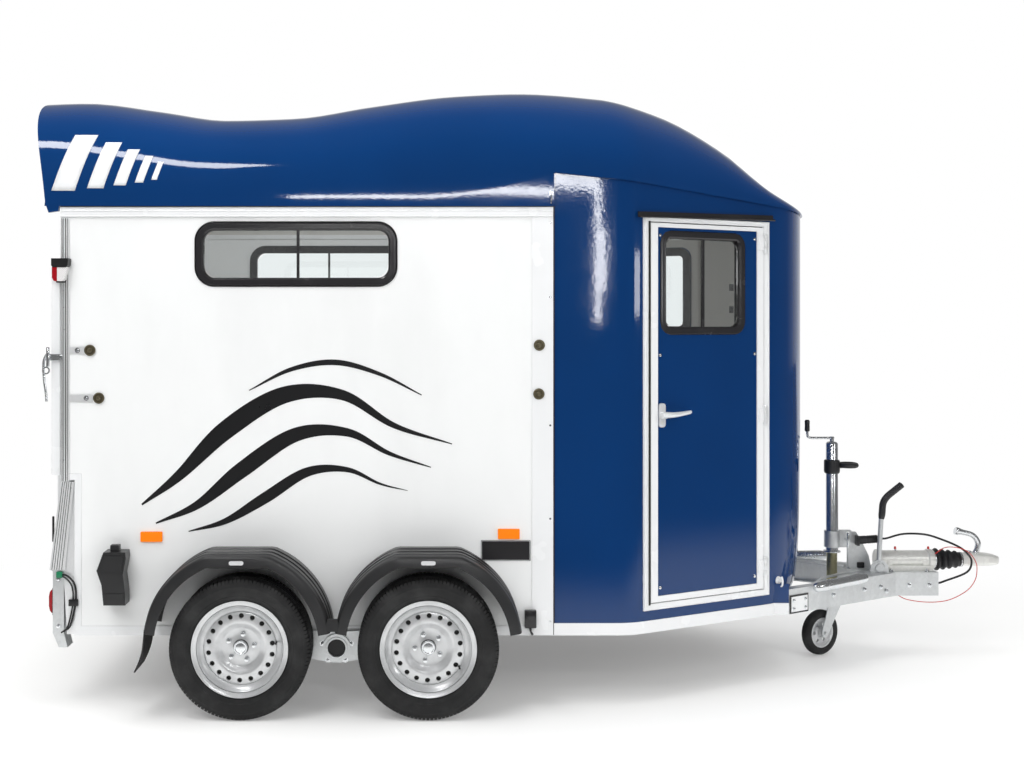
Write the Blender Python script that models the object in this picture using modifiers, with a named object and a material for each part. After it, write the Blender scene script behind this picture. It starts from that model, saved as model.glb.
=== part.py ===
"""Two-horse trailer with tandem wheels, a moulded nose and roof, a groom's door and a rear ramp.

Metres, +X forward to the coupling, +Y to the left, +Z up, origin on the ground at mid length.
"""
import math

import bmesh
import bpy
from mathutils import Matrix, Vector

# Fits and sheet thicknesses
GAP = 0.0003
RUN = 0.005
STEP = 0.0001

# Body
REAR_X = -2.108
SEAM_X = 0.007
BODY_HALF = 0.875
BODY_FLOOR_Z = 0.300
WALL_TOP_Z = 2.140
PANEL_T = 0.020
RAIL_T = 0.028
RAIL_PROUD = 0.003
TOP_RAIL = 0.024
BOTTOM_RAIL = 0.040
REAR_POST = 0.028
FRONT_POST = 0.094
CORNER_STEP_X = -2.048
CORNER_STEP_Z = 0.965

# Side windows
WINDOW_X = (-1.529, -0.669)
WINDOW_Z = (1.799, 2.070)
WINDOW_R = 0.080
FRAME_BAND = 0.034
FRAME_PROUD = 0.007
FRAME_T = 0.032
PANE_T = 0.005
MULLION_X = -1.090
MULLION_W = 0.012

# Nose
NOSE_T = 0.020
BEND_R = 0.250
DOOR_START = (0.394, 0.030 - BODY_HALF)
DOOR_END = (1.024, 0.365 - BODY_HALF)
DOOR_TURN = math.atan2(DOOR_END[1] - DOOR_START[1], DOOR_END[0] - DOOR_START[0])
FRONT_FLAT = 0.0862
FRONT_R = (-DOOR_END[1] - FRONT_FLAT) / math.cos(DOOR_TURN)
SILL_TOP = 0.352
TUCK_X = 1.040
CREASE_START_Z = 2.284
CREASE_END_Z = 2.150
CREASE_END_X = DOOR_END[0] + FRONT_R * (1 - math.sin(DOOR_TURN))

# Roof
ROOF_T = 0.020
ROOF_HALF = BODY_HALF + 0.011
ROOF_LIP = 0.009
ROOF_REAR_X = -2.172
TAIL_LEAN = 0.138
ROOF_POWER = 2.6

# Groom's door, measured along the door plane, upwards and outwards
DOOR_W = math.dist(DOOR_START, DOOR_END)
DOOR_Z = (0.397, 2.100)
DOOR_SIDE = 0.030
DOOR_HEAD = 0.022
DOOR_SILL = 0.027
EDGE_SIDE = 0.038
EDGE_HEAD = 0.018
EDGE_FOOT = 0.026
DOOR_HINGE_S = 0.682
DOOR_HINGE_OUT = 0.016
DOOR_WINDOW_S = (0.088, 0.573)
DOOR_WINDOW_Z = (1.587, 2.043)
DOOR_WINDOW_R = 0.060
DOOR_WINDOW_BAND = 0.036
HANDLE_S = 0.078
HANDLE_Z = 1.238
HANDLE_L = 0.160

# Floor and chassis
DECK_Z = (0.418, 0.440)
RAIL_HALF = 0.480
BEAM_W = 0.045
BEAM_WALL = 0.005
BEAM_Z = (0.298, 0.412)
BEAM_NOTCH = 0.003
CHASSIS_FRONT_X = 0.300
CROSS_HALF = BODY_HALF - 0.035
CROSS_W = 0.050
CROSS_Z = 0.360
CROSS_X = (-1.500, -0.950, -0.370, 0.220)

# Drawbar and coupling
BEND_X = 1.130
NECK_X = 1.800
NECK_HALF = 0.066
BOX_X = (1.680, 1.980)
BOX_HALF = 0.085
GUSSET_T = 0.008
HOUSING_R = 0.045
HOUSING_Z = 0.462
HOUSING_X = (1.700, 1.984)
HEAD_X = (2.126, 2.310)

# Wheels and suspension
AXLE_Z = 0.293
WHEEL_X = (-1.310, -0.532)
TYRE_R = 0.2927
TYRE_W = 0.185
TYRE_CLEAR = 0.045
TYRE_Y = BODY_HALF + TYRE_CLEAR + TYRE_W / 2
RIM_FLANGE_R = 0.200
RIM_HALF = 0.0775
RIM_HOLES = 18
RIM_HOLE_RING = 0.137
RIM_HOLE_R = 0.010
TYRE_STEPS = 28
SPINDLE_R = 0.024
PIVOT_X = -0.923
PIVOT_Z = 0.252
PIVOT_R = 0.046
PIVOT_BORE = 0.0385
ARM_T = 0.012

# Fenders
FENDER_X = (-1.320, -0.532)
FENDER_END_R = 0.391
FENDER_TOP_R = 0.411
FENDER_TOP_Z = 0.389
FENDER_FLAT = 0.132
FENDER_END_ANGLE = 10.5
FENDER_T = 0.006
SKIRT = 0.048
FENDER_CLEAR = 0.010
FENDER_OUT = TYRE_Y + TYRE_W / 2 + FENDER_CLEAR

# Rear end
RAMP_X = (-2.150, -2.114)
RAMP_TOP_Z = 1.905
RAMP_FOOT_Z = 0.462
RAMP_HALF = BODY_HALF - 0.007
RAMP_FOOT_HALF = BODY_HALF - 0.099
RAMP_STEP_Z = 0.985
RAMP_EDGE = 0.040
RAMP_HINGE_Z = 0.452
CORNER_Y = (BODY_HALF - 0.075, BODY_HALF + 0.001)
POST_Y = (BODY_HALF - 0.120, BODY_HALF - 0.026)
BUMPER_Z = (0.302, 0.4177)

# Jockey wheel
JOCKEY_X = 1.483
JOCKEY_TUBE_R = 0.0295
JOCKEY_BORE = 0.0265
JOCKEY_SLIDE_R = 0.0255
JOCKEY_Z = (0.500, 1.049)
SLIDE_Z = (0.248, 0.860)
JOCKEY_WHEEL_R = 0.110
JOCKEY_WHEEL_W = 0.050
JOCKEY_TRAIL = 0.085
JOCKEY_ANGLE = math.atan2(0.492, 0.870)

# Stalls
BAR_Z = 1.326
BAR_HALF = BODY_HALF - PANEL_T - 0.0053
PARTITION_X = (-1.963, -0.057)
PARTITION_Z = (0.700, 1.640)

for old in list(bpy.data.objects):
    bpy.data.objects.remove(old, do_unlink=True)

PARTS = bpy.data.collections.new("horse_trailer")
TOOLS = bpy.data.collections.new("cutters")
bpy.context.scene.collection.children.link(PARTS)
bpy.context.scene.collection.children.link(TOOLS)

# name: colour, metallic, roughness
FINISHES = {
    "blue_gelcoat": ((0.006, 0.022, 0.130), 0.0, 0.15),
    "white_panel": ((0.82, 0.83, 0.84), 0.0, 0.35),
    "galvanised": ((0.60, 0.62, 0.64), 0.9, 0.45),
    "steel_rim": ((0.66, 0.68, 0.70), 0.8, 0.35),
    "tyre_rubber": ((0.015, 0.015, 0.016), 0.0, 0.80),
    "black_plastic": ((0.022, 0.022, 0.026), 0.0, 0.50),
    "glass": ((0.70, 0.74, 0.76), 0.0, 0.05),
    "red_lens": ((0.60, 0.02, 0.02), 0.0, 0.20),
    "plywood": ((0.20, 0.16, 0.12), 0.0, 0.80),
    "olive_zinc": ((0.42, 0.38, 0.20), 0.8, 0.40),
    "red_sheath": ((0.65, 0.06, 0.05), 0.0, 0.45),
}


def material(name):
    mat = bpy.data.materials.get(name)
    if mat is None:
        colour, metallic, roughness = FINISHES[name]
        mat = bpy.data.materials.new(name)
        mat.use_nodes = True
        shader = mat.node_tree.nodes["Principled BSDF"]
        shader.inputs["Base Color"].default_value = (*colour, 1.0)
        shader.inputs["Metallic"].default_value = metallic
        shader.inputs["Roughness"].default_value = roughness
    return mat


def add(name, mesh, finish=None):
    """A mesh object: a part with its finish, or a tool kept out of the render."""
    obj = bpy.data.objects.new(name, mesh)
    if finish:
        PARTS.objects.link(obj)
        mesh.materials.clear()
        mesh.materials.append(material(finish))
        mesh.shade_smooth()
        mesh.set_sharp_from_angle(angle=math.radians(32))
    else:
        TOOLS.objects.link(obj)
        obj.hide_render = True
        obj.display_type = "WIRE"
    return obj


def from_bmesh(name, bm, finish=None):
    mesh = bpy.data.meshes.new(name)
    bm.to_mesh(mesh)
    bm.free()
    return add(name, mesh, finish)


def box(name, xs, ys, zs, finish=None):
    bm = bmesh.new()
    bmesh.ops.create_cube(bm, size=1.0)
    size = [b - a for a, b in (xs, ys, zs)]
    middle = [(a + b) / 2 for a, b in (xs, ys, zs)]
    bmesh.ops.scale(bm, vec=size, verts=bm.verts)
    bmesh.ops.translate(bm, vec=middle, verts=bm.verts)
    return from_bmesh(name, bm, finish)


def cylinder(name, start, end, radius, finish=None, sides=24, end_radius=None):
    start, end = Vector(start), Vector(end)
    axis = end - start
    bm = bmesh.new()
    turn = axis.to_track_quat("Z", "Y").to_matrix().to_4x4()
    place = Matrix.Translation((start + end) / 2) @ turn
    bmesh.ops.create_cone(
        bm, cap_ends=True, segments=sides, radius1=radius,
        radius2=radius if end_radius is None else end_radius, depth=axis.length, matrix=place)
    return from_bmesh(name, bm, finish)


def welded(name, source, place, finish):
    """The mesh of a curve or a modified object, closed at its caps."""
    graph = bpy.context.evaluated_depsgraph_get()
    mesh = bpy.data.meshes.new_from_object(source.evaluated_get(graph))
    bm = bmesh.new()
    bm.from_mesh(mesh)
    bmesh.ops.remove_doubles(bm, verts=bm.verts, dist=STEP / 10)
    bm.transform(place)
    bm.normal_update()
    bmesh.ops.recalc_face_normals(bm, faces=bm.faces)
    bm.to_mesh(mesh)
    bm.free()
    bpy.data.objects.remove(source, do_unlink=True)
    mesh.name = name
    return add(name, mesh, finish)


# Frames of the flat outlines: u and v run in the plane, w along the extrusion
PLAN = Matrix.Identity(4)
SIDE = Matrix(((1, 0, 0, 0), (0, 0, -1, 0), (0, 1, 0, 0), (0, 0, 0, 1)))
BACK = Matrix(((0, 0, 1, 0), (1, 0, 0, 0), (0, 1, 0, 0), (0, 0, 0, 1)))


def plate(name, loops, low, high, frame, finish=None):
    """Flat outlines, the first one outside and the rest holes, extruded from low to high."""
    curve = bpy.data.curves.new(name, "CURVE")
    curve.dimensions = "2D"
    curve.fill_mode = "BOTH"
    curve.extrude = (high - low) / 2
    for points in loops:
        spline = curve.splines.new("POLY")
        spline.points.add(len(points) - 1)
        for point, (u, v) in zip(spline.points, points):
            point.co = (u, v, 0.0, 1.0)
        spline.use_cyclic_u = True
    outline = bpy.data.objects.new(name, curve)
    TOOLS.objects.link(outline)
    return welded(name, outline, frame @ Matrix.Translation((0, 0, (low + high) / 2)), finish)


def turned(name, profile, place, finish=None, steps=36):
    """A profile of radius and height, turned about its Z axis and then placed."""
    bm = bmesh.new()
    verts = [bm.verts.new((radius, 0.0, height)) for radius, height in profile]
    closed = profile[0][0] > 0 or profile[-1][0] > 0
    for first, second in zip(verts, verts[1:]):
        bm.edges.new((first, second))
    if closed:
        bm.edges.new((verts[-1], verts[0]))
    mesh = bpy.data.meshes.new(name)
    bm.to_mesh(mesh)
    bm.free()
    lathe = bpy.data.objects.new(name, mesh)
    TOOLS.objects.link(lathe)
    screw = lathe.modifiers.new("turn", "SCREW")
    screw.steps = steps
    screw.render_steps = steps
    screw.use_merge_vertices = True
    screw.merge_threshold = STEP / 10
    return welded(name, lathe, place, finish)


def tube(name, points, radius, finish=None, sides=2, radii=None):
    """A round bar along points, its caps closed."""
    curve = bpy.data.curves.new(name, "CURVE")
    curve.dimensions = "3D"
    curve.bevel_depth = radius
    curve.bevel_resolution = sides
    curve.use_fill_caps = True
    spline = curve.splines.new("POLY")
    spline.points.add(len(points) - 1)
    for index, (point, place) in enumerate(zip(spline.points, points)):
        point.co = (*place, 1.0)
        point.radius = radii[index] if radii else 1.0
    bar = bpy.data.objects.new(name, curve)
    TOOLS.objects.link(bar)
    return welded(name, bar, Matrix.Identity(4), finish)


def combine(target, operation, *tools):
    for tool in tools:
        change = target.modifiers.new(tool.name, "BOOLEAN")
        change.operation = operation
        change.solver = "EXACT"
        change.object = tool
    return target


def cut(target, *tools):
    return combine(target, "DIFFERENCE", *tools)


def fuse(target, *tools):
    return combine(target, "UNION", *tools)


def hang(pivot_name, place, *children):
    """An empty on a joint's axis that carries the moving pieces."""
    pivot = bpy.data.objects.new(pivot_name, None)
    PARTS.objects.link(pivot)
    pivot.location = place
    bpy.context.view_layer.update()
    for child in children:
        child.parent = pivot
        child.matrix_parent_inverse = pivot.matrix_world.inverted()


def rectangle(us, vs):
    return [(us[0], vs[0]), (us[1], vs[0]), (us[1], vs[1]), (us[0], vs[1])]


def rounded(us, vs, radius, steps=3):
    """A rectangle with round corners."""
    points = []
    corners = ((us[1] - radius, vs[1] - radius, 0), (us[0] + radius, vs[1] - radius, 90),
               (us[0] + radius, vs[0] + radius, 180), (us[1] - radius, vs[0] + radius, 270))
    for u, v, start in corners:
        for step in range(steps + 1):
            angle = math.radians(start + 90 * step / steps)
            points.append((u + radius * math.cos(angle), v + radius * math.sin(angle)))
    return points


def shrink(pair, amount):
    return (pair[0] + amount, pair[1] - amount)


def smooth_curve(points, per_span):
    """Points read from a Catmull-Rom curve through the given ones."""
    knots = [Vector(p) for p in points]
    knots = [2 * knots[0] - knots[1]] + knots + [2 * knots[-1] - knots[-2]]
    out = []
    for a, b, c, d in zip(knots, knots[1:], knots[2:], knots[3:]):
        for step in range(per_span):
            t = step / per_span
            out.append(0.5 * (2 * b + (c - a) * t + (2 * a - 5 * b + 4 * c - d) * t * t
                              + (3 * b - a - 3 * c + d) * t ** 3))
    return out + [knots[-2]]


def interpolate(table, x):
    """A smooth height read from a table of x and height."""
    if x <= table[0][0]:
        return table[0][1]
    if x >= table[-1][0]:
        return table[-1][1]
    slopes = [(b[1] - a[1]) / (b[0] - a[0]) for a, b in zip(table, table[1:])]
    tangents = [slopes[0]]
    for left, right in zip(slopes, slopes[1:]):
        tangents.append(0.0 if left * right <= 0 else 2 * left * right / (left + right))
    tangents.append(slopes[-1])
    for index, (a, b) in enumerate(zip(table, table[1:])):
        if x <= b[0]:
            width = b[0] - a[0]
            t = (x - a[0]) / width
            return ((2 * t ** 3 - 3 * t * t + 1) * a[1] + (t ** 3 - 2 * t * t + t) * width * tangents[index]
                    + (3 * t * t - 2 * t ** 3) * b[1] + (t ** 3 - t * t) * width * tangents[index + 1])


# Plan of the nose
DOOR_DIR = Vector((DOOR_END[0] - DOOR_START[0], DOOR_END[1] - DOOR_START[1])).normalized()
DOOR_OUT = Vector((DOOR_DIR.y, -DOOR_DIR.x))
DOOR_TURN = math.atan2(DOOR_DIR.y, DOOR_DIR.x)


def nose_half_plan():
    """Points from the seam round the right side to the middle of the front."""
    points = [Vector((SEAM_X + GAP, -BODY_HALF)), Vector((0.140, -BODY_HALF))]
    corner_x = DOOR_START[0] - (DOOR_START[1] + BODY_HALF) / math.tan(DOOR_TURN)
    bend_x = corner_x - BEND_R * math.tan(DOOR_TURN / 2)
    bend_steps = 3
    for step in range(bend_steps + 1):
        heading = DOOR_TURN * step / bend_steps
        points.append(Vector((bend_x + BEND_R * math.sin(heading),
                              -BODY_HALF + BEND_R * (1 - math.cos(heading)))))
    end = Vector(DOOR_END)
    front_steps = 6
    for step in range(front_steps + 1):
        heading = DOOR_TURN + (math.pi / 2 - DOOR_TURN) * step / front_steps
        points.append(end + FRONT_R * Vector((math.sin(heading) - math.sin(DOOR_TURN),
                                              math.cos(DOOR_TURN) - math.cos(heading))))
    return points


def offset(points, distance):
    """The same path moved to its right-hand side by a distance."""
    moved = []
    for index, point in enumerate(points):
        before = points[max(index - 1, 0)]
        after = points[min(index + 1, len(points) - 1)]
        first = (point - before).normalized() if index else (after - point).normalized()
        second = (after - point).normalized() if index < len(points) - 1 else first
        out_first = Vector((first.y, -first.x))
        out_second = Vector((second.y, -second.x))
        middle = (out_first + out_second).normalized()
        moved.append(point + middle * distance / max(middle.dot(out_first), 0.5))
    return moved


def both_sides(half):
    """The right half followed by its mirror image, back to the seam."""
    return half + [Vector((p.x, -p.y)) for p in reversed(half)]


NOSE_HALF = nose_half_plan()
BEAM_PATH = [Vector((CHASSIS_FRONT_X, -RAIL_HALF)), Vector((BEND_X, -RAIL_HALF)), Vector((NECK_X, -NECK_HALF))]


def tuck(x, z):
    """How far the front of the nose draws in towards its foot."""
    table = ((BODY_FLOOR_Z, 0.085), (SILL_TOP, 0.070), (0.42, 0.030), (0.55, 0.014), (0.80, 0.004), (1.20, 0.0))
    share = min(max((x - TUCK_X) / (CREASE_END_X - TUCK_X), 0.0), 1.0)
    return share * interpolate(table, z)


def crease(x):
    return CREASE_START_Z + (CREASE_END_Z - CREASE_START_Z) * (x - SEAM_X) / (CREASE_END_X - SEAM_X)


def grid(name, rows, finish, thickness):
    """An open skin through rows of points, thickened inwards."""
    bm = bmesh.new()
    lines = [[bm.verts.new(p) for p in row] for row in rows]
    for low, high in zip(lines, lines[1:]):
        for a, b, c, d in zip(low, low[1:], high[1:], high):
            bm.faces.new((a, b, c, d))
    bmesh.ops.recalc_face_normals(bm, faces=bm.faces)
    skin = from_bmesh(name, bm, finish)
    shell = skin.modifiers.new("thickness", "SOLIDIFY")
    shell.thickness = thickness
    shell.offset = -1.0
    shell.use_even_offset = True
    return skin


def build_nose():
    plan = both_sides(NOSE_HALF)
    levels = (BODY_FLOOR_Z, SILL_TOP, 0.42, 0.55, 0.80, 2.30)
    rows = [[(p.x - tuck(p.x, z), p.y, z) for p in plan] for z in levels]
    shell = grid("nose_shell", rows, "blue_gelcoat", NOSE_T)
    roof_line = plate("crease_cutter", [[(-0.2, crease(-0.2) - GAP), (1.6, crease(1.6) - GAP), (1.6, 2.6),
                                         (-0.2, 2.6)]], -1.1, 1.1, SIDE)
    hole = door_plate("door_way_cutter", [rectangle((-GAP, DOOR_W + GAP), (DOOR_Z[0] - GAP, DOOR_Z[1] + GAP))],
                      -0.08, 0.05)
    pane = door_plate("left_pane_cutter",
                      [rounded(shrink(DOOR_WINDOW_S, -GAP), shrink(DOOR_WINDOW_Z, -GAP), DOOR_WINDOW_R)],
                      -0.08, 0.05, left=True)
    cut(shell, roof_line, hole, pane)
    wide = offset(BEAM_PATH, BEAM_NOTCH) + offset(BEAM_PATH, -BEAM_W - BEAM_NOTCH)[::-1]
    for side, sign in (("right", 1), ("left", -1)):
        cut(shell, plate(f"beam_notch_cutter_{side}", [[(p.x, sign * p.y) for p in wide]], BODY_FLOOR_Z - 0.05,
                         BEAM_Z[1] + BEAM_NOTCH, PLAN))


# x, crown height
CROWN = ((-2.310, 2.676), (-2.020, 2.690), (-1.740, 2.648), (-1.480, 2.606), (-1.150, 2.616), (-0.800, 2.672),
         (-0.400, 2.726), (-0.060, 2.745), (0.250, 2.726), (0.550, 2.650), (0.850, 2.490), (1.080, 2.290),
         (1.290, 2.168))
SIDE_STATIONS = (-2.02, -1.84, -1.66, -1.46, -1.20, -0.94, -0.66, -0.36, -0.06)
DOOR_STATIONS = (0.55, 0.70, 0.86)


def smooth_step(value):
    value = min(max(value, 0.0), 1.0)
    return value * value * (3 - 2 * value)


def roof_ring(place, inset):
    """The arch over one station: its foot, its springing line and a flattened half ellipse."""
    foot = WALL_TOP_Z - 0.06
    top = interpolate(CROWN, place.x) - inset
    nose_share = smooth_step((place.x + 0.60) / 0.80)
    spring = WALL_TOP_Z + 0.02 + nose_share * (crease(max(place.x, SEAM_X)) - WALL_TOP_Z - 0.02)
    spring = min(spring, top - 0.010)
    power = ROOF_POWER - 0.5 * nose_share
    arch_steps = 6
    half = [(place.y, foot)]
    for step in range(arch_steps):
        t = math.pi / 2 * step / arch_steps
        half.append((place.y * math.cos(t) ** (2 / power), spring + (top - spring) * math.sin(t) ** (2 / power)))
    half.append((0.0, top))
    lean = TAIL_LEAN * min(max((-1.55 - place.x) / (-1.55 - ROOF_REAR_X), 0.0), 1.0)
    ring = half + [(-y, z) for y, z in reversed(half[:-1])]
    return [(place.x - lean * (max(z - WALL_TOP_Z, 0.0) / (2.69 - WALL_TOP_Z)) ** 1.6, y, z) for y, z in ring]


def roof_body(name, inset, rear_x, finish=None):
    """A closed body under the roof's skin, drawn in by the inset."""
    half_width = ROOF_HALF - inset
    nose = [p for p in offset(NOSE_HALF, ROOF_LIP - inset)[1:]]
    nose[0].y = -half_width
    run = Vector(DOOR_END) - Vector(DOOR_START)
    reach = (ROOF_LIP - inset) / math.cos(DOOR_TURN)
    door = [Vector((x, DOOR_START[1] + run.y * (x - DOOR_START[0]) / run.x - reach)) for x in DOOR_STATIONS]
    side = [Vector((x, -half_width)) for x in (rear_x,) + SIDE_STATIONS]
    stations = sorted(side + nose + door, key=lambda place: place.x)
    stations = [place for place in stations if place.y < -0.03]
    bm = bmesh.new()
    rings = [[bm.verts.new(point) for point in roof_ring(place, inset)] for place in stations]
    count = len(rings[0])
    for near, far in zip(rings, rings[1:]):
        for index in range(count):
            after = (index + 1) % count
            bm.faces.new((near[index], near[after], far[after], far[index]))
    for ring in (rings[0], rings[-1]):
        for index in range(count // 2 - 1):
            bm.faces.new((ring[index], ring[index + 1], ring[count - 2 - index], ring[count - 1 - index]))
        bm.faces.new((ring[count // 2 - 1], ring[count // 2], ring[count // 2 + 1]))
    bmesh.ops.recalc_face_normals(bm, faces=bm.faces)
    return from_bmesh(name, bm, finish)


def build_roof():
    shell = roof_body("roof_shell", 0.0, ROOF_REAR_X, "blue_gelcoat")
    inner = roof_body("roof_hollow_cutter", ROOF_T, ROOF_REAR_X - 0.10)
    foot = WALL_TOP_Z + GAP
    below = plate("below_crease_cutter", [[(-2.6, 1.9), (1.6, 1.9), (1.6, crease(1.6)), (SEAM_X, crease(SEAM_X)),
                                           (SEAM_X, foot), (-2.6, foot)]], -1.1, 1.1, SIDE)
    cut(shell, inner, below)


# Door plane: u along the door, v up, w outwards
def door_frame_matrix(left=False):
    mirror = -1.0 if left else 1.0
    along = Vector((DOOR_DIR.x, mirror * DOOR_DIR.y, 0.0))
    out = Vector((DOOR_OUT.x, mirror * DOOR_OUT.y, 0.0))
    start = Vector((DOOR_START[0], mirror * DOOR_START[1], 0.0))
    matrix = Matrix.Identity(4)
    for row in range(3):
        matrix[row][0] = along[row]
        matrix[row][1] = (0.0, 0.0, 1.0)[row]
        matrix[row][2] = out[row]
        matrix[row][3] = start[row]
    return matrix


def door_plate(name, loops, low, high, finish=None, left=False):
    return plate(name, loops, low, high, door_frame_matrix(left), finish)


def door_point(s, z, out):
    return door_frame_matrix() @ Vector((s, z, out))


def window(name, us, vs, radius, band, place, mullion_u, opening_finish="glass"):
    """A black frame with a middle bar in front of one pane."""
    hole_u, hole_v = shrink(us, band), shrink(vs, band)
    inner = rounded(hole_u, hole_v, radius - band * 0.5)
    frame = plate(name + "_frame", [rounded(us, vs, radius), inner], FRAME_PROUD - FRAME_T, FRAME_PROUD, place,
                  "black_plastic")
    bar = plate(name + "_bar", [rectangle((mullion_u - MULLION_W / 2, mullion_u + MULLION_W / 2),
                                          shrink(hole_v, -0.01))], -0.006, FRAME_PROUD - 0.002, place)
    fuse(frame, bar)
    pane = rounded(shrink(hole_u, GAP), shrink(hole_v, GAP), radius - band * 0.5 - GAP)
    glass = plate(name + "_glass", [pane], -0.0065 - PANE_T, -0.0065, place, opening_finish)
    return frame, glass


def build_walls():
    for side, sign in (("right", -1), ("left", 1)):
        face = Matrix(((1, 0, 0, 0), (0, 0, sign, sign * BODY_HALF), (0, 1, 0, 0), (0, 0, 0, 1)))
        outer = [(CORNER_STEP_X, BODY_FLOOR_Z), (SEAM_X - GAP, BODY_FLOOR_Z), (SEAM_X - GAP, WALL_TOP_Z),
                 (REAR_X, WALL_TOP_Z), (REAR_X, CORNER_STEP_Z), (CORNER_STEP_X, CORNER_STEP_Z)]
        x_low, x_high = REAR_X + REAR_POST, SEAM_X - FRONT_POST
        z_low, z_high = BODY_FLOOR_Z + BOTTOM_RAIL, WALL_TOP_Z - TOP_RAIL
        foot_x = CORNER_STEP_X + REAR_POST
        foot_z = CORNER_STEP_Z + REAR_POST
        inner = [(foot_x, z_low), (x_high, z_low), (x_high, z_high), (x_low, z_high), (x_low, foot_z), (foot_x, foot_z)]
        plate("wall_frame_" + side, [outer, inner], RAIL_PROUD - RAIL_T, RAIL_PROUD, face, "white_panel")
        panel = [(foot_x + GAP, z_low + GAP), (x_high - GAP, z_low + GAP), (x_high - GAP, z_high - GAP),
                 (x_low + GAP, z_high - GAP), (x_low + GAP, foot_z + GAP), (foot_x + GAP, foot_z + GAP)]
        hole = rounded(shrink(WINDOW_X, -GAP), shrink(WINDOW_Z, -GAP), WINDOW_R)
        plate("wall_panel_" + side, [panel, hole], -PANEL_T, 0.0, face, "white_panel")
        window("side_window_" + side, WINDOW_X, WINDOW_Z, WINDOW_R, FRAME_BAND, face, MULLION_X)


def build_door():
    inner_s = (DOOR_SIDE, DOOR_W - DOOR_SIDE)
    inner_z = (DOOR_Z[0] + DOOR_SILL, DOOR_Z[1] - DOOR_HEAD)
    door_plate("door_frame", [rectangle((0, DOOR_W), DOOR_Z), rectangle(inner_s, inner_z)], -0.024, 0.009,
               "white_panel")
    leaf_s, leaf_z = shrink(inner_s, RUN), shrink(inner_z, RUN)
    skin_s = (leaf_s[0] + EDGE_SIDE, leaf_s[1] - EDGE_SIDE)
    skin_z = (leaf_z[0] + EDGE_FOOT, leaf_z[1] - EDGE_HEAD)
    edge = door_plate("door_edge", [rectangle(leaf_s, leaf_z), rectangle(skin_s, skin_z)], -0.020, 0.011,
                      "white_panel")
    knuckle_heights = (2.000, 1.220, 0.530)
    for index, height in enumerate(knuckle_heights):
        low, high = door_point(DOOR_HINGE_S, height - 0.03, DOOR_HINGE_OUT), door_point(
            DOOR_HINGE_S, height + 0.03, DOOR_HINGE_OUT)
        leaf = door_plate(f"hinge_leaf_tool_{index}", [rectangle((leaf_s[1] - 0.030, DOOR_HINGE_S),
                                                                 (height - 0.03, height + 0.03))], 0.010, 0.016)
        fuse(edge, leaf, cylinder(f"hinge_tool_{index}", low, high, 0.007, sides=8))
    panel_hole = rounded(shrink(DOOR_WINDOW_S, -GAP), shrink(DOOR_WINDOW_Z, -GAP), DOOR_WINDOW_R)
    panel = door_plate("door_panel", [rectangle(shrink(skin_s, GAP), shrink(skin_z, GAP)), panel_hole], -0.018,
                       0.006, "blue_gelcoat")
    middle = sum(DOOR_WINDOW_S) / 2
    frame, glass = window("door_window", DOOR_WINDOW_S, DOOR_WINDOW_Z, DOOR_WINDOW_R, DOOR_WINDOW_BAND,
                          door_frame_matrix(), middle)
    window("nose_window", DOOR_WINDOW_S, DOOR_WINDOW_Z, DOOR_WINDOW_R, DOOR_WINDOW_BAND,
           door_frame_matrix(left=True), middle)
    rose = door_plate("door_handle", [rounded((HANDLE_S, HANDLE_S + 0.034), (HANDLE_Z - 0.05, HANDLE_Z + 0.05), 0.012)],
                      0.006 + GAP, 0.018, "galvanised")
    neck = cylinder("handle_neck_tool", door_point(HANDLE_S + 0.017, HANDLE_Z, 0.012),
                    door_point(HANDLE_S + 0.017, HANDLE_Z, 0.045), 0.010, sides=12)
    lever = door_plate("handle_lever_tool", [rounded((HANDLE_S - 0.005, HANDLE_S + HANDLE_L),
                                                     (HANDLE_Z - 0.012, HANDLE_Z + 0.012), 0.010)], 0.036, 0.048)
    fuse(rose, neck, lever)
    hang("door_hinge", door_point(DOOR_HINGE_S, 1.25, DOOR_HINGE_OUT), edge, panel, frame, glass, rose)


def build_chassis():
    rear = CORNER_STEP_X + 0.010
    for side, sign in (("right", -1), ("left", 1)):
        ys = sorted((sign * (RAIL_HALF - BEAM_W), sign * RAIL_HALF))
        box(f"chassis_rail_{side}", (rear, CHASSIS_FRONT_X - GAP), ys, (BEAM_Z[0], CROSS_Z - GAP), "galvanised")
    for index, x in enumerate(CROSS_X):
        box(f"cross_member_{index + 1}", (x, x + CROSS_W), (-CROSS_HALF, CROSS_HALF), (CROSS_Z, DECK_Z[0] - GAP),
            "galvanised")
    inner = offset(NOSE_HALF, -0.045)
    edge = 0.028 - BODY_HALF
    floor = [(REAR_X + 0.055, edge), (SEAM_X, edge)]
    right = [(p.x - tuck(p.x, SILL_TOP), max(p.y, edge)) for p in inner if p.x > 0.1]
    half = floor + right
    plate("floor_deck", [half + [(x, -y) for x, y in reversed(half)]], DECK_Z[0], DECK_Z[1], PLAN, "plywood")


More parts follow.
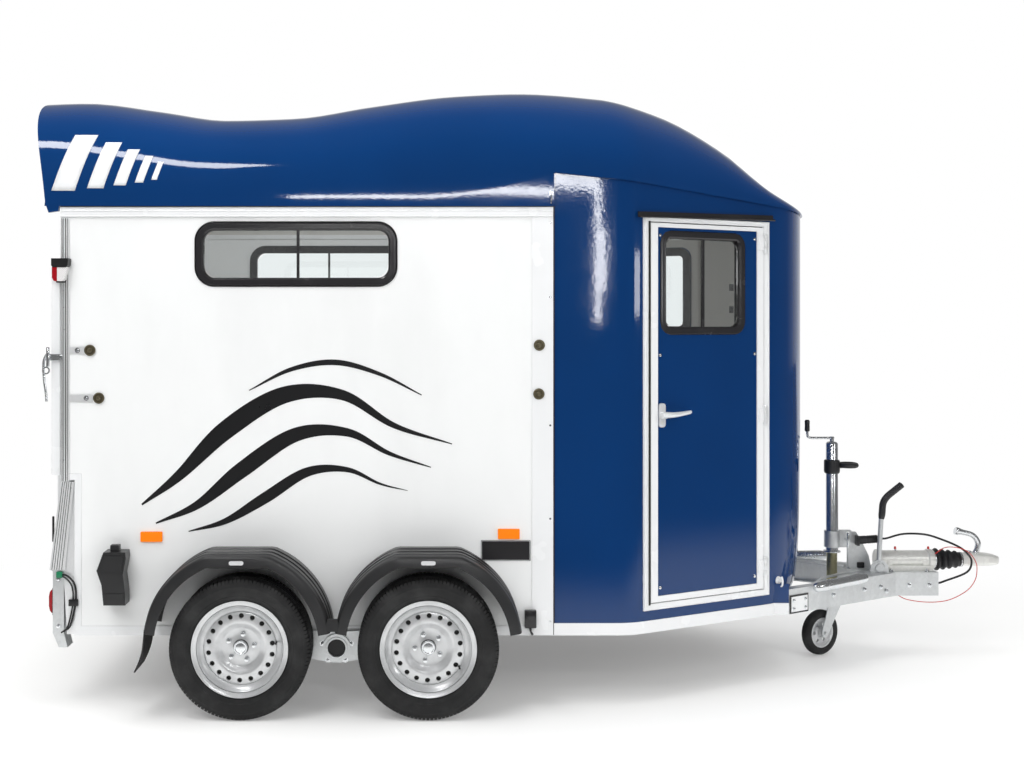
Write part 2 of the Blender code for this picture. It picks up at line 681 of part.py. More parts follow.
def build_drawbar():
    def strip(width):
        """The plan of a beam's sheet on the right-hand side, as wide as given."""
        inner = offset(BEAM_PATH, -width)
        return [tuple(p) for p in BEAM_PATH] + [tuple(p) for p in reversed(inner)]

    def mirrored(points):
        return [(x, -y) for x, y in points]

    web, flange = strip(BEAM_WALL), strip(BEAM_W)
    frame = box("drawbar", BOX_X, (-BOX_HALF, BOX_HALF), (BEAM_Z[0] + 0.001, BEAM_Z[1] + 0.001), "galvanised")
    for side, outline in (("right", (web, flange)), ("left", (mirrored(web), mirrored(flange)))):
        fuse(frame,
             plate(f"web_tool_{side}", [outline[0]], BEAM_Z[0], BEAM_Z[1], PLAN),
             plate(f"top_flange_tool_{side}", [outline[1]], BEAM_Z[1] - BEAM_WALL, BEAM_Z[1], PLAN),
             plate(f"low_flange_tool_{side}", [outline[1]], BEAM_Z[0], BEAM_Z[0] + BEAM_WALL, PLAN))
    def beside(points):
        """Points given by x and by their distance inwards from the beam's outer face."""
        slope = (RAIL_HALF - NECK_HALF) / (NECK_X - BEND_X)
        return [(x, inwards - RAIL_HALF + slope * (x - BEND_X)) for x, inwards in points]

    edge = beside(((1.285, 0.0142), (1.700, 0.0128)))
    hollow = beside(((1.600, 0.1456), (1.494, 0.1651), (1.365, 0.1298), (1.300, 0.0650)))
    gusset = edge + mirrored(edge)[::-1] + mirrored(hollow)[::-1] + hollow
    leaf = beside(((1.325, 0.0565), (1.450, 0.0543), (1.600, 0.0536), (1.612, 0.0702), (1.580, 0.1139),
                   (1.500, 0.1354), (1.395, 0.1103), (1.340, 0.0799)))
    top = plate("gusset_tool", [gusset, leaf, mirrored(leaf)], BEAM_Z[1] - BEAM_WALL / 2,
                BEAM_Z[1] + GUSSET_T - BEAM_WALL, PLAN)
    fuse(frame, top)


def build_coupling():
    base = BEAM_Z[1] + 0.001 + GAP
    low = plate("coupling_housing", [[(1.715, base), (1.970, base), (1.970, 0.440), (1.715, 0.440)]], -0.052, 0.052,
                SIDE, "galvanised")
    fuse(low, cylinder("housing_tube_tool", (HOUSING_X[0], 0, HOUSING_Z), (HOUSING_X[1], 0, HOUSING_Z), HOUSING_R,
                       sides=28))
    # radius, length along the bellows
    start, rings, pitch = 0.0, 4, 0.032
    profile = [(0.0, start), (0.040, start)]
    for ring in range(rings):
        crest = 0.054 - 0.0035 * ring
        along = start + pitch * ring
        profile += [(0.038, along + 0.003), (crest, along + 0.010), (crest, along + 0.022)]
    end = HEAD_X[0] - HOUSING_X[1] - 2 * GAP
    profile += [(0.034, end - 0.006), (0.034, end), (0.0, end)]
    face = Matrix.Translation((HOUSING_X[1] + GAP, 0, HOUSING_Z)) @ Matrix.Rotation(math.pi / 2, 4, "Y")
    turned("bellows", profile, face, "black_plastic", steps=16)
    # x, half width, bottom, top
    sections = ((HEAD_X[0], 0.030, 0.436, 0.492), (2.165, 0.036, 0.434, 0.497), (2.215, 0.043, 0.434, 0.495),
                (2.270, 0.041, 0.436, 0.490), (2.298, 0.030, 0.438, 0.484), (HEAD_X[1], 0.012, 0.444, 0.476))
    bm = bmesh.new()
    rings = []
    for x, half, bottom, top in sections:
        bevel = min(half, top - bottom) * 0.35
        outline = rounded((-half, half), (bottom, top), bevel, steps=2)
        rings.append([bm.verts.new((x, y, z)) for y, z in outline])
    for near, far in zip(rings, rings[1:]):
        for index in range(len(near)):
            after = (index + 1) % len(near)
            bm.faces.new((near[index], near[after], far[after], far[index]))
    bm.faces.new(rings[0])
    bm.faces.new(rings[-1])
    bmesh.ops.recalc_face_normals(bm, faces=bm.faces)
    head = from_bmesh("coupling_head", bm, "galvanised")
    socket = bmesh.new()
    bmesh.ops.create_uvsphere(socket, u_segments=12, v_segments=6, radius=0.0255,
                              matrix=Matrix.Translation((2.250, 0, 0.430)))
    cut(head, from_bmesh("ball_socket_cutter", socket))
    handle = tube("head_handle_tool", [(2.190, 0, 0.480), (2.208, 0, 0.520), (2.206, 0, 0.556), (2.180, 0, 0.582),
                                       (2.140, 0, 0.595), (2.095, 0, 0.604)], 0.012)
    fuse(head, handle)
    lever = cylinder("handbrake_lever", (1.687, -0.098, 0.4356), (1.687, -0.062, 0.4356), 0.020, "galvanised", sides=16)
    rod = [(1.687, -0.080, 0.430), (1.692, -0.080, 0.550), (1.700, -0.080, 0.690), (1.706, -0.080, 0.700),
           (1.709, -0.080, 0.755), (1.728, -0.080, 0.785), (1.797, -0.080, 0.841), (1.803, -0.080, 0.846)]
    fuse(lever, tube("lever_rod_tool", rod, 0.015, radii=[0.65, 0.62, 0.62, 1.0, 1.0, 1.0, 1.0, 0.6]))


def wheel_profiles():
    """Radius and height outwards, for the tyre and for the rim."""
    half = TYRE_W / 2
    tyre = [(0.185, RIM_HALF - 0.012), (RIM_FLANGE_R + 0.0035, RIM_HALF - 0.0075), (0.224, half - 0.002),
            (0.262, half - 0.003), (TYRE_R, half - 0.038)]
    tyre += [(r, -h) for r, h in reversed(tyre)]
    flange = RIM_FLANGE_R
    rim = [(0.0, 0.057), (0.030, 0.056), (0.032, 0.034), (0.078, 0.032), (0.106, 0.050), (0.156, 0.042),
           (0.168, 0.070), (flange, RIM_HALF), (flange, RIM_HALF - 0.006), (0.1805, RIM_HALF - 0.0105),
           (0.164, 0.008), (0.164, -0.016), (0.1805, 0.0105 - RIM_HALF), (flange, 0.006 - RIM_HALF),
           (flange, -RIM_HALF), (0.174, 0.005 - RIM_HALF), (0.156, -0.018), (0.154, 0.034), (0.106, 0.043),
           (0.078, 0.024),
           (0.050, 0.022), (0.050, -0.050), (SPINDLE_R + 0.001, -0.050), (SPINDLE_R + 0.001, 0.020),
           (0.0, 0.020)]
    return tyre, rim


def rim_hole_cutter(name, place):
    """The ring of round holes through a rim's disc, one in the middle of each of its flats."""
    bm = bmesh.new()
    for index in range(RIM_HOLES):
        turn = Matrix.Rotation(2 * math.pi * (index + 0.5) / RIM_HOLES, 4, "Z")
        corner = Matrix.Rotation(math.pi / 8, 4, "Z")
        bmesh.ops.create_cone(
            bm, cap_ends=True, segments=8, radius1=RIM_HOLE_R, radius2=RIM_HOLE_R, depth=0.060,
            matrix=place @ turn @ Matrix.Translation((RIM_HOLE_RING, 0, 0.040)) @ corner)
    return from_bmesh(name, bm)


def build_wheels():
    tyre_profile, rim_profile = wheel_profiles()
    for side, sign in (("right", -1), ("left", 1)):
        outwards = Matrix.Rotation(-math.pi / 2, 4, "X")
        if side == "right":
            outwards = Matrix.Rotation(math.pi, 4, "Z") @ outwards
        for end, x in zip(("rear", "front"), WHEEL_X):
            tyre = turned(f"tyre_{end}_{side}", tyre_profile, outwards, "tyre_rubber", steps=TYRE_STEPS)
            rim = turned(f"rim_{end}_{side}", rim_profile, outwards, "steel_rim", steps=RIM_HOLES)
            holes = rim_hole_cutter(f"rim_holes_cutter_{end}_{side}", outwards)
            cut(rim, holes)
            for piece in (tyre, rim, holes):
                piece.location = (x, sign * TYRE_Y, AXLE_Z)


def build_suspension():
    span = BODY_HALF + 0.031
    pipe = cylinder("suspension_tube", (PIVOT_X, -span, PIVOT_Z), (PIVOT_X, span, PIVOT_Z), PIVOT_R, "galvanised",
                    sides=20)
    cut(pipe, cylinder("pipe_bore_cutter", (PIVOT_X, -span - 0.1, PIVOT_Z), (PIVOT_X, span + 0.1, PIVOT_Z),
                       PIVOT_BORE, sides=20))
    for index, ys in enumerate(((-0.70, -0.62), (0.62, 0.70))):
        fuse(pipe, box(f"saddle_tool_{index}", (PIVOT_X - 0.075, PIVOT_X + 0.075), ys,
                       (PIVOT_Z + 0.030, CROSS_Z - GAP)))
    for side, sign in (("right", -1), ("left", 1)):
        face = Matrix(((1, 0, 0, 0), (0, 0, sign, 0), (0, 1, 0, 0), (0, 0, 0, 1)))
        low = BODY_HALF + 0.0055
        pieces = []
        for end, x in zip(("rear", "front"), WHEEL_X):
            outline = link(Vector((PIVOT_X, PIVOT_Z)), 0.066, Vector((x, AXLE_Z)), 0.046)
            pieces.append(plate(f"arm_tool_{end}_{side}", [outline], low, low + ARM_T, face))
            spindle = cylinder(f"spindle_tool_{end}_{side}", (x, sign * low, AXLE_Z),
                               (x, sign * (TYRE_Y + 0.014), AXLE_Z), SPINDLE_R, sides=12)
            pieces.append(spindle)
        hub = cylinder(f"swing_arms_{side}", (PIVOT_X, sign * low, PIVOT_Z), (PIVOT_X, sign * (low + 0.022), PIVOT_Z),
                       0.060, "galvanised", sides=16)
        fuse(hub, *pieces)
        cut(hub, cylinder(f"arm_bore_cutter_{side}", (PIVOT_X, sign * (low - 0.1), PIVOT_Z),
                          (PIVOT_X, sign * (low + 0.1), PIVOT_Z), PIVOT_R + 0.001, sides=20))


def link(first, first_radius, second, second_radius, steps=5):
    """The outline round two circles."""
    if second.x < first.x:
        first, second = second, first
        first_radius, second_radius = second_radius, first_radius
    line = second - first
    lean = math.asin((first_radius - second_radius) / line.length)
    heading = math.atan2(line.y, line.x)
    points = []
    start, end = heading - math.pi / 2 + lean, heading + math.pi / 2 - lean
    for step in range(steps + 1):
        angle = start + (end - start) * step / steps
        points.append((second.x + second_radius * math.cos(angle), second.y + second_radius * math.sin(angle)))
    start, end = end, heading + 3 * math.pi / 2 + lean
    for step in range(steps + 1):
        angle = start + (end - start) * step / steps
        points.append((first.x + first_radius * math.cos(angle), first.y + first_radius * math.sin(angle)))
    return points


def fender_path(inset, end_angle):
    """The arch from its rear end to its front end, about the axle."""
    flat_angle = math.degrees(math.atan2(FENDER_TOP_Z, FENDER_FLAT))
    steps = 5
    right = []
    for step in range(steps + 1):
        share = step / steps
        angle = math.radians(end_angle + (flat_angle - end_angle) * share)
        radius = FENDER_END_R + (FENDER_TOP_R - FENDER_END_R) * share - inset
        right.append((radius * math.cos(angle), radius * math.sin(angle)))
    return [(-x, z) for x, z in right] + list(reversed(right))


def build_fenders():
    arch = fender_path(0.0, FENDER_END_ANGLE) + fender_path(SKIRT, FENDER_END_ANGLE)[::-1]
    hollow_angle = FENDER_END_ANGLE + math.degrees(FENDER_T / FENDER_END_R)
    hollow = fender_path(FENDER_T, hollow_angle) + fender_path(SKIRT + 0.010, hollow_angle)[::-1]
    for side, sign in (("right", -1), ("left", 1)):
        face = Matrix(((1, 0, 0, 0), (0, 0, sign, 0), (0, 1, 0, 0), (0, 0, 0, 1)))
        low, high = BODY_HALF + RAIL_PROUD + GAP, FENDER_OUT
        arches, hollows, extras = [], [], []
        for end, x in zip(("rear", "front"), FENDER_X):
            outline = [(x + u, AXLE_Z + v) for u, v in arch]
            name = f"fenders_{side}" if end == "rear" else f"fender_tool_{side}"
            arches.append(plate(name, [outline], low, high, face, "black_plastic" if end == "rear" else None))
            outline = [(x + u, AXLE_Z + v) for u, v in hollow]
            hollows.append(plate(f"fender_hollow_{end}_{side}", [outline], low - 0.01, high - FENDER_T, face))
            for rib in range(3):
                rib_y = low + (high - low) * (0.2184 + 0.2324 * rib)
                ys = (sign * rib_y, sign * (rib_y + 0.0845 * (high - low)))
                extras.append(box(f"rib_tool_{end}_{side}_{rib}", (x - FENDER_FLAT + 0.01, x + FENDER_FLAT - 0.01),
                                  (min(ys), max(ys)), (AXLE_Z + FENDER_TOP_Z - 0.003, AXLE_Z + FENDER_TOP_Z + 0.006)))
        middle = (FENDER_X[0] + FENDER_X[1]) / 2
        extras.append(plate(f"fender_bridge_tool_{side}", [[(middle - 0.030, 0.374), (middle + 0.030, 0.374),
                                                            (middle + 0.022, 0.414), (middle - 0.022, 0.414)]],
                            high - 0.004, high - 0.001, face))
        tail = FENDER_X[0] - FENDER_END_R
        flap = [(tail + 0.010, 0.377), (tail + 0.044, 0.377), (tail + 0.035, 0.290), (tail + 0.015, 0.235),
                (tail - 0.028, 0.205), (tail - 0.010, 0.290)]
        extras.append(plate(f"flap_tool_{side}", [flap], low + (high - low) * 0.24, high - 0.001,
                            face))
        fuse(arches[0], arches[1])
        cut(arches[0], *hollows)
        fuse(arches[0], *extras)


def build_rear():
    frame = box("rear_frame", (-2.108, CORNER_STEP_X - GAP), (-CORNER_Y[0] + GAP, CORNER_Y[0] - GAP), BUMPER_Z,
                "galvanised")
    for side, sign in (("right", -1), ("left", 1)):
        ys = sorted((sign * POST_Y[0], sign * POST_Y[1]))
        post = box(f"post_tool_{side}", (REAR_X, REAR_X + 0.050), ys, (CORNER_STEP_Z + RUN, WALL_TOP_Z - 0.010))
        inner = sorted((sign * POST_Y[0], sign * (CORNER_Y[0] - GAP)))
        foot = box(f"foot_tool_{side}", (REAR_X, REAR_X + 0.050), inner, (BUMPER_Z[0], CORNER_STEP_Z + 0.060))
        fuse(frame, foot, post)
    fuse(frame, box("header_tool", (REAR_X, REAR_X + 0.040), (0.010 - POST_Y[1] + 0.029, POST_Y[1] - 0.039),
                    (WALL_TOP_Z - 0.050, WALL_TOP_Z - 0.010)))
    for side, sign in (("right", -1), ("left", 1)):
        face = Matrix(((1, 0, 0, 0), (0, 0, sign, 0), (0, 1, 0, 0), (0, 0, 0, 1)))
        outline = [(-2.100, 0.956), (-2.055, 0.956), (-2.0945, 0.575), (-2.0945, 0.310), (-2.078, 0.248),
                   (-2.116, 0.248), (-2.142, 0.310), (-2.142, 0.575), (-2.149, 0.578)]
        fuse(frame, plate(f"corner_tool_{side}", [outline], CORNER_Y[0] - GAP - RUN, CORNER_Y[1], face))
        lens = [(-2.1423, 0.392), (-2.1423, 0.497), (-2.154, 0.490), (-2.161, 0.470), (-2.161, 0.420), (-2.154, 0.400)]
        plate(f"tail_lamp_{side}", [lens], CORNER_Y[0] + 0.006, CORNER_Y[1] - 0.006, face, "red_lens")
        holder = [(-2.135, 1.914), (-2.062, 1.914), (-2.066, 1.880), (-2.078, 1.822), (-2.092, 1.811),
                  (-2.124, 1.811), (-2.135, 1.832)]
        plate(f"marker_lamp_{side}", [holder], BODY_HALF + RAIL_PROUD + GAP, BODY_HALF + 0.050, face,
              "black_plastic")
    # half width, height
    outer = [(RAMP_FOOT_HALF, RAMP_FOOT_Z), (RAMP_FOOT_HALF, RAMP_STEP_Z), (RAMP_HALF, RAMP_STEP_Z),
             (RAMP_HALF, RAMP_TOP_Z)]
    inner = [(RAMP_FOOT_HALF - RAMP_EDGE, RAMP_FOOT_Z + RAMP_EDGE), (RAMP_FOOT_HALF - RAMP_EDGE, RAMP_STEP_Z + RAMP_EDGE),
             (RAMP_HALF - RAMP_EDGE, RAMP_STEP_Z + RAMP_EDGE), (RAMP_HALF - RAMP_EDGE, RAMP_TOP_Z - RAMP_EDGE)]
    panel = [(half - GAP, z + (GAP if z < RAMP_TOP_Z - 0.1 else -GAP)) for half, z in inner]

    def closed(points):
        return points + [(-half, z) for half, z in reversed(points)]

    edge = plate("ramp_frame", [closed(outer), closed(inner)], RAMP_X[0], RAMP_X[1], BACK, "white_panel")
    board = plate("ramp_panel", [closed(panel)], RAMP_X[0] + 0.004, RAMP_X[1] - 0.004, BACK, "white_panel")
    for index, y in enumerate((-0.55, 0.55)):
        fuse(edge, cylinder(f"ramp_hinge_tool_{index}", (RAMP_X[0], y - 0.06, RAMP_HINGE_Z + 0.004),
                            (RAMP_X[0], y + 0.06, RAMP_HINGE_Z + 0.004), 0.010, sides=12))
    hang("ramp_hinge", (RAMP_X[0], 0, RAMP_HINGE_Z), edge, board)


def build_jockey():
    x = JOCKEY_X
    # radius, height
    body = [(JOCKEY_BORE, JOCKEY_Z[0]), (0.042, JOCKEY_Z[0]), (0.042, 0.507), (JOCKEY_TUBE_R, 0.507),
            (JOCKEY_TUBE_R, 0.903), (0.037, 0.905), (0.037, 0.952), (JOCKEY_TUBE_R, 0.954), (JOCKEY_TUBE_R, 1.040),
            (0.020, JOCKEY_Z[1]), (0.010, JOCKEY_Z[1]), (0.010, 1.075), (0.0, 1.075), (0.0, 1.036),
            (JOCKEY_BORE, 1.030)]
    post = turned_hollow("jockey_tube", body, Matrix.Translation((x, 0, 0)), "galvanised")
    crank = tube("crank_tool", [(x + 0.008, 0, 1.067), (1.364, 0, 1.067), (1.360, 0, 1.085), (1.360, 0, 1.104)], 0.006)
    knob = cylinder("knob_tool", (1.360, 0, 1.100), (1.360, 0, 1.157), 0.012, sides=12)
    ring = [(x + 0.0795 + 0.039 * math.cos(a), 0.039 * math.sin(a), 0.932)
            for a in (math.radians(168 - 336 * i / 10) for i in range(11))]
    fuse(post, crank, knob, tube("grip_ring_tool", ring, 0.011, sides=1))
    bracket = cylinder("jockey_bracket", (x, 0, 0.525), (x, 0, 0.605), 0.038, "galvanised", sides=24)
    ear = box("ear_tool", (x + 0.025, 1.575), (-0.010, 0.010), (0.520, 0.610))
    plate_points = [(1.560, BEAM_Z[1] + 0.0035), (1.676, BEAM_Z[1] + 0.0035), (1.664, 0.480), (1.625, 0.560),
                    (1.600, 0.600), (1.560, 0.600)]
    stay = plate("stay_tool", [plate_points], -0.012, 0.012, SIDE)
    fuse(bracket, ear, stay)
    cut(bracket, cylinder("clamp_bore_cutter", (x, 0, 0.4), (x, 0, 0.8), JOCKEY_TUBE_R + GAP))
    leg = cylinder("jockey_slide", (x, 0, SLIDE_Z[0]), (x, 0, SLIDE_Z[1]), JOCKEY_SLIDE_R, "olive_zinc", sides=24)
    cut(leg, cylinder("swivel_bore_cutter", (x, 0, 0.2), (x, 0, SLIDE_Z[0] + 0.035), 0.0125, sides=16))
    # Fork, built along +X behind the swivel and then turned
    turn = Matrix.Translation((x, 0, 0)) @ Matrix.Rotation(JOCKEY_ANGLE, 4, "Z")
    side_in, side_out = JOCKEY_WHEEL_W / 2 + 0.006, JOCKEY_WHEEL_W / 2 + 0.010
    crown_z = SLIDE_Z[0] - 0.001
    fork = box("jockey_fork", (-0.060, 0.030), (-side_out, side_out), (crown_z - 0.006, crown_z), "galvanised")
    arm = [(0.030, crown_z), (-0.060, crown_z), (-0.104, 0.118), (-0.100, 0.096), (-0.085, 0.090), (-0.068, 0.098)]
    for index, ys in enumerate(((-side_out, -side_in), (side_in, side_out))):
        fuse(fork, plate(f"fork_arm_tool_{index}", [arm], -ys[1], -ys[0], SIDE))
    pin = cylinder("fork_pin_tool", (-JOCKEY_TRAIL, -side_out - 0.006, JOCKEY_WHEEL_R),
                   (-JOCKEY_TRAIL, side_out + 0.006, JOCKEY_WHEEL_R), 0.008, sides=16)
    stem = cylinder("fork_stem_tool", (0, 0, crown_z - 0.003), (0, 0, crown_z + 0.030), 0.0115, sides=16)
    fuse(fork, pin, stem)
    half = JOCKEY_WHEEL_W / 2
    # radius, height
    wheel_profile = [(0.009, half - 0.001), (0.024, half - 0.001), (0.026, 0.011), (0.070, 0.011), (0.076, 0.021),
                     (JOCKEY_WHEEL_R, 0.014)]
    wheel_profile += [(r, -h) for r, h in reversed(wheel_profile)]
    wheel = turned("jockey_wheel", wheel_profile, Matrix.Rotation(math.pi / 2, 4, "X"), "tyre_rubber", steps=20)
    wheel.location = (-JOCKEY_TRAIL, 0, JOCKEY_WHEEL_R)
    for piece in (fork, wheel):
        for obj in [piece] + [m.object for m in piece.modifiers]:
            obj.matrix_world = turn @ obj.matrix_basis


def turned_hollow(name, profile, place, finish):
    """A closed profile that meets the axis along one edge, turned about it."""
    on_axis = [index for index, (radius, _) in enumerate(profile) if radius == 0.0]
    start = on_axis[-1]
    ordered = profile[start:] + profile[:on_axis[0] + 1]
    return turned(name, ordered, place, finish, steps=14)


def build_fittings():
    frame = box("partition", PARTITION_X, (-0.012, 0.012), PARTITION_Z, "white_panel")
    foot = DECK_Z[1] + GAP
    for index, x in enumerate(PARTITION_X):
        fuse(frame, cylinder(f"stall_post_tool_{index}", (x, 0, foot), (x, 0, 1.700), 0.022, sides=16),
             cylinder(f"stall_bar_tool_{index}", (x, -BAR_HALF, BAR_Z), (x, BAR_HALF, BAR_Z), 0.020, sides=16))
    fuse(frame, box("stall_rail_tool", PARTITION_X, (-0.020, 0.020), (PARTITION_Z[1] - 0.02, PARTITION_Z[1] + 0.03)))
    face = Matrix(((1, 0, 0, 0), (0, 0, -1, 0), (0, 1, 0, 0), (0, 0, 0, 1)))
    chock = [(-1.894, 0.446), (-1.812, 0.446), (-1.812, 0.500), (-1.820, 0.585), (-1.812, 0.664), (-1.888, 0.664),
             (-1.933, 0.585), (-1.905, 0.530)]
    body = plate("wheel_chock", [chock], BODY_HALF + 0.0035, BODY_HALF + 0.085, face, "black_plastic")
    fuse(body, box("chock_knob_tool", (-1.881, -1.842), (-BODY_HALF - 0.065, -BODY_HALF - 0.030), (0.650, 0.690)))


def build_cords():
    plug = cylinder("cable_plug", (1.612, -0.0345, 0.5640), (1.702, -0.0345, 0.5700), 0.022, "black_plastic", sides=16)
    fuse(plug, cylinder("plug_nut_tool", (1.690, -0.0345, 0.5692), (1.720, -0.0345, 0.5712), 0.014, sides=12))
    supply = [(1.7212, -0.0345, 0.57128), (1.744, -0.0345, 0.5728), (1.829, -0.028, 0.593), (1.936, -0.026, 0.590),
              (2.013, -0.040, 0.568), (2.080, -0.062, 0.540), (2.119, -0.072, 0.512), (2.146, -0.076, 0.470),
              (2.127, -0.070, 0.412), (2.030, -0.046, 0.364), (1.998, -0.042, 0.352),
              (BOX_X[1] + 3 * GAP, -0.042, 0.3515)]
    tube("electric_cable", smooth_curve(supply, 3), 0.005, "black_plastic")
    breakaway = [(1.974, -0.053, 0.497), (2.013, -0.070, 0.531), (2.059, -0.088, 0.537), (2.119, -0.094, 0.518),
                 (2.158, -0.096, 0.468), (2.164, -0.096, 0.420), (2.154, -0.094, 0.373), (2.119, -0.092, 0.327),
                 (2.051, -0.090, 0.287), (1.986, -0.088, 0.270), (1.906, -0.080, 0.267), (1.830, -0.068, 0.277),
                 (1.790, -0.060, 0.2953)]
    tube("breakaway_cable", smooth_curve(breakaway, 3), 0.002, "red_sheath")


build_walls()
build_nose()
build_roof()
build_door()
build_chassis()
build_drawbar()
build_coupling()
build_wheels()
build_suspension()
build_fenders()
build_rear()
build_jockey()
build_fittings()
build_cords()
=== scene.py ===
"""Horse trailer: the visible shapes, finishes, light and camera, dressed over its frame.

Metres, +X forward to the coupling, +Y to the left, +Z up, origin on the ground at mid length.
"""
import math

import bmesh
import bpy
from bpy.props import FloatProperty, FloatVectorProperty, IntProperty, PointerProperty
from mathutils import Matrix, Vector
from mathutils.bvhtree import BVHTree


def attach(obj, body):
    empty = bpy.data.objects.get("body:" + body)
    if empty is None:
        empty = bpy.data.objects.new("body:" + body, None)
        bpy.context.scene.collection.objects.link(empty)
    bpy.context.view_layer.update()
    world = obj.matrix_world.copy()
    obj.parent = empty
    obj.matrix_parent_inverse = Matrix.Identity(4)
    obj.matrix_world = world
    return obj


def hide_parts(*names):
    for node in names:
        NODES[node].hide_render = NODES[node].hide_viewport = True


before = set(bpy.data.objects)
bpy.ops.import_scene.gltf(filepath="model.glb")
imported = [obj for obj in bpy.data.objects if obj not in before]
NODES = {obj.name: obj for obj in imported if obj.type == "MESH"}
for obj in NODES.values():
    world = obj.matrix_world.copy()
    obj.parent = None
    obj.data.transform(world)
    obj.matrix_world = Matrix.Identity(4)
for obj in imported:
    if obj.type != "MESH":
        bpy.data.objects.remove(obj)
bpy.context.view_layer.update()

bl_info = {
    "name": "Horse Trailer",
    "version": (1, 0, 0),
    "blender": (4, 5, 0),
    "location": "View3D > Sidebar > Trailer",
    "description": "Builds the visible pieces of a two-horse trailer over its frame",
    "category": "Add Mesh",
}

SIDES = (("right", -1), ("left", 1))

# Body
REAR_X = -2.108
SEAM_X = 0.007
BODY_HALF = 0.875
BODY_FLOOR_Z = 0.3
WALL_TOP_Z = 2.14
SILL_TOP = 0.352

# Nose, crease and roof
NOSE_T = 0.02
BEND_R = 0.25
DOOR_START = (0.394, -0.845)
DOOR_END = (1.024, -0.51)
DOOR_W = 0.7135
DOOR_Z = (0.397, 2.1)
FRONT_R = 0.48
TUCK_X = 1.04
CREASE_START_Z = 2.284
CREASE_END_Z = 2.15
CREASE_END_X = 1.279
ROOF_T = 0.02
ROOF_HALF = 0.886
ROOF_LIP = 0.009
ROOF_REAR_X = -2.172
TAIL_LEAN = 0.138
TAIL_START_X = -1.55
TAIL_TOP_Z = 2.69
ROOF_POWER = 2.6
ARCH_STEPS = 22
# x, height of the crown
CROWN = ((-2.31, 2.676), (-2.02, 2.69), (-1.74, 2.648), (-1.48, 2.606), (-1.15, 2.616), (-0.8, 2.672),
         (-0.4, 2.726), (-0.06, 2.745), (0.25, 2.726), (0.55, 2.65), (0.85, 2.49), (1.08, 2.29),
         (1.29, 2.168))

# Windows
WINDOW_X = (-1.529, -0.669)
WINDOW_Z = (1.799, 2.07)
WINDOW_R = 0.08
WINDOW_BAND = 0.034
MULLION_X = -1.09
DOOR_WINDOW_S = (0.088, 0.573)
DOOR_WINDOW_Z = (1.587, 2.043)
DOOR_WINDOW_R = 0.06
DOOR_WINDOW_BAND = 0.036
MULLION_W = 0.012

# Wheels and fenders
AXLE_Z = 0.293
WHEEL_X = {"rear": -1.31, "front": -0.532}
TYRE_R = 0.2927
TYRE_Y = 1.0125
RIM_R = 0.2
FENDER_X = (-1.32, -0.532)
FENDER_END_R = 0.391
FENDER_TOP_R = 0.411
FENDER_TOP_Z = 0.389
FENDER_FLAT = 0.132
FENDER_END_ANGLE = 10.5
FENDER_OUT = 1.115

# Jockey wheel
JOCKEY_X = 1.483
JOCKEY_WHEEL_R = 0.11
JOCKEY_TRAIL = 0.085
JOCKEY_ANGLE = math.atan2(0.492, 0.87)

# Coupling
COUPLING_Z = 0.462
PLUG_Y = -0.0345

# Camera, solved from the photograph
CAMERA_PLACE = (-0.546, -6.255, 1.632)
CAMERA_LENS = 44.1
CAMERA_SHIFT = (0.085, -0.058)


# ---- plain geometry


def smooth_curve(points, per_span):
    """Points read from a Catmull-Rom curve through the given ones."""
    knots = [Vector(p) for p in points]
    knots = [2 * knots[0] - knots[1]] + knots + [2 * knots[-1] - knots[-2]]
    out = []
    for a, b, c, d in zip(knots, knots[1:], knots[2:], knots[3:]):
        for step in range(per_span):
            t = step / per_span
            out.append(0.5 * (2 * b + (c - a) * t + (2 * a - 5 * b + 4 * c - d) * t * t
                              + (3 * b - a - 3 * c + d) * t ** 3))
    return out + [knots[-2]]


def interpolate(table, x):
    """A smooth value read from a table of place and value."""
    if x <= table[0][0]:
        return table[0][1]
    if x >= table[-1][0]:
        return table[-1][1]
    slopes = [(b[1] - a[1]) / (b[0] - a[0]) for a, b in zip(table, table[1:])]
    tangents = [slopes[0]]
    for left, right in zip(slopes, slopes[1:]):
        tangents.append(0.0 if left * right <= 0 else 2 * left * right / (left + right))
    tangents.append(slopes[-1])
    for index, (a, b) in enumerate(zip(table, table[1:])):
        if x <= b[0]:
            width = b[0] - a[0]
            t = (x - a[0]) / width
            return ((2 * t ** 3 - 3 * t * t + 1) * a[1] + (t ** 3 - 2 * t * t + t) * width * tangents[index]
                    + (3 * t * t - 2 * t ** 3) * b[1] + (t ** 3 - t * t) * width * tangents[index + 1])


def smooth_step(value):
    value = min(max(value, 0.0), 1.0)
    return value * value * (3 - 2 * value)


def rectangle(us, vs):
    return [(us[0], vs[0]), (us[1], vs[0]), (us[1], vs[1]), (us[0], vs[1])]


def rounded(us, vs, radius, steps=8):
    """A rectangle with round corners."""
    points = []
    corners = ((us[1] - radius, vs[1] - radius, 0), (us[0] + radius, vs[1] - radius, 90),
               (us[0] + radius, vs[0] + radius, 180), (us[1] - radius, vs[0] + radius, 270))
    for u, v, start in corners:
        for step in range(steps + 1):
            angle = math.radians(start + 90 * step / steps)
            points.append((u + radius * math.cos(angle), v + radius * math.sin(angle)))
    return points


def shrink(pair, amount):
    return (pair[0] + amount, pair[1] - amount)


def with_mirror(half):
    """A profile of radius and height, followed by its mirror image below."""
    return half + [(r, -h) for r, h in reversed(half)]


def chaikin(points, rounds=2):
    """An open line with its corners cut round."""
    for _ in range(rounds):
        cut = [points[0]]
        for a, b in zip(points, points[1:]):
            cut += [tuple(0.75 * p + 0.25 * q for p, q in zip(a, b)), tuple(0.25 * p + 0.75 * q for p, q in zip(a, b))]
        points = cut + [points[-1]]
    return points


# Frames of the flat outlines: u and v run in the plane, w along the thickness
PLAN = Matrix.Identity(4)


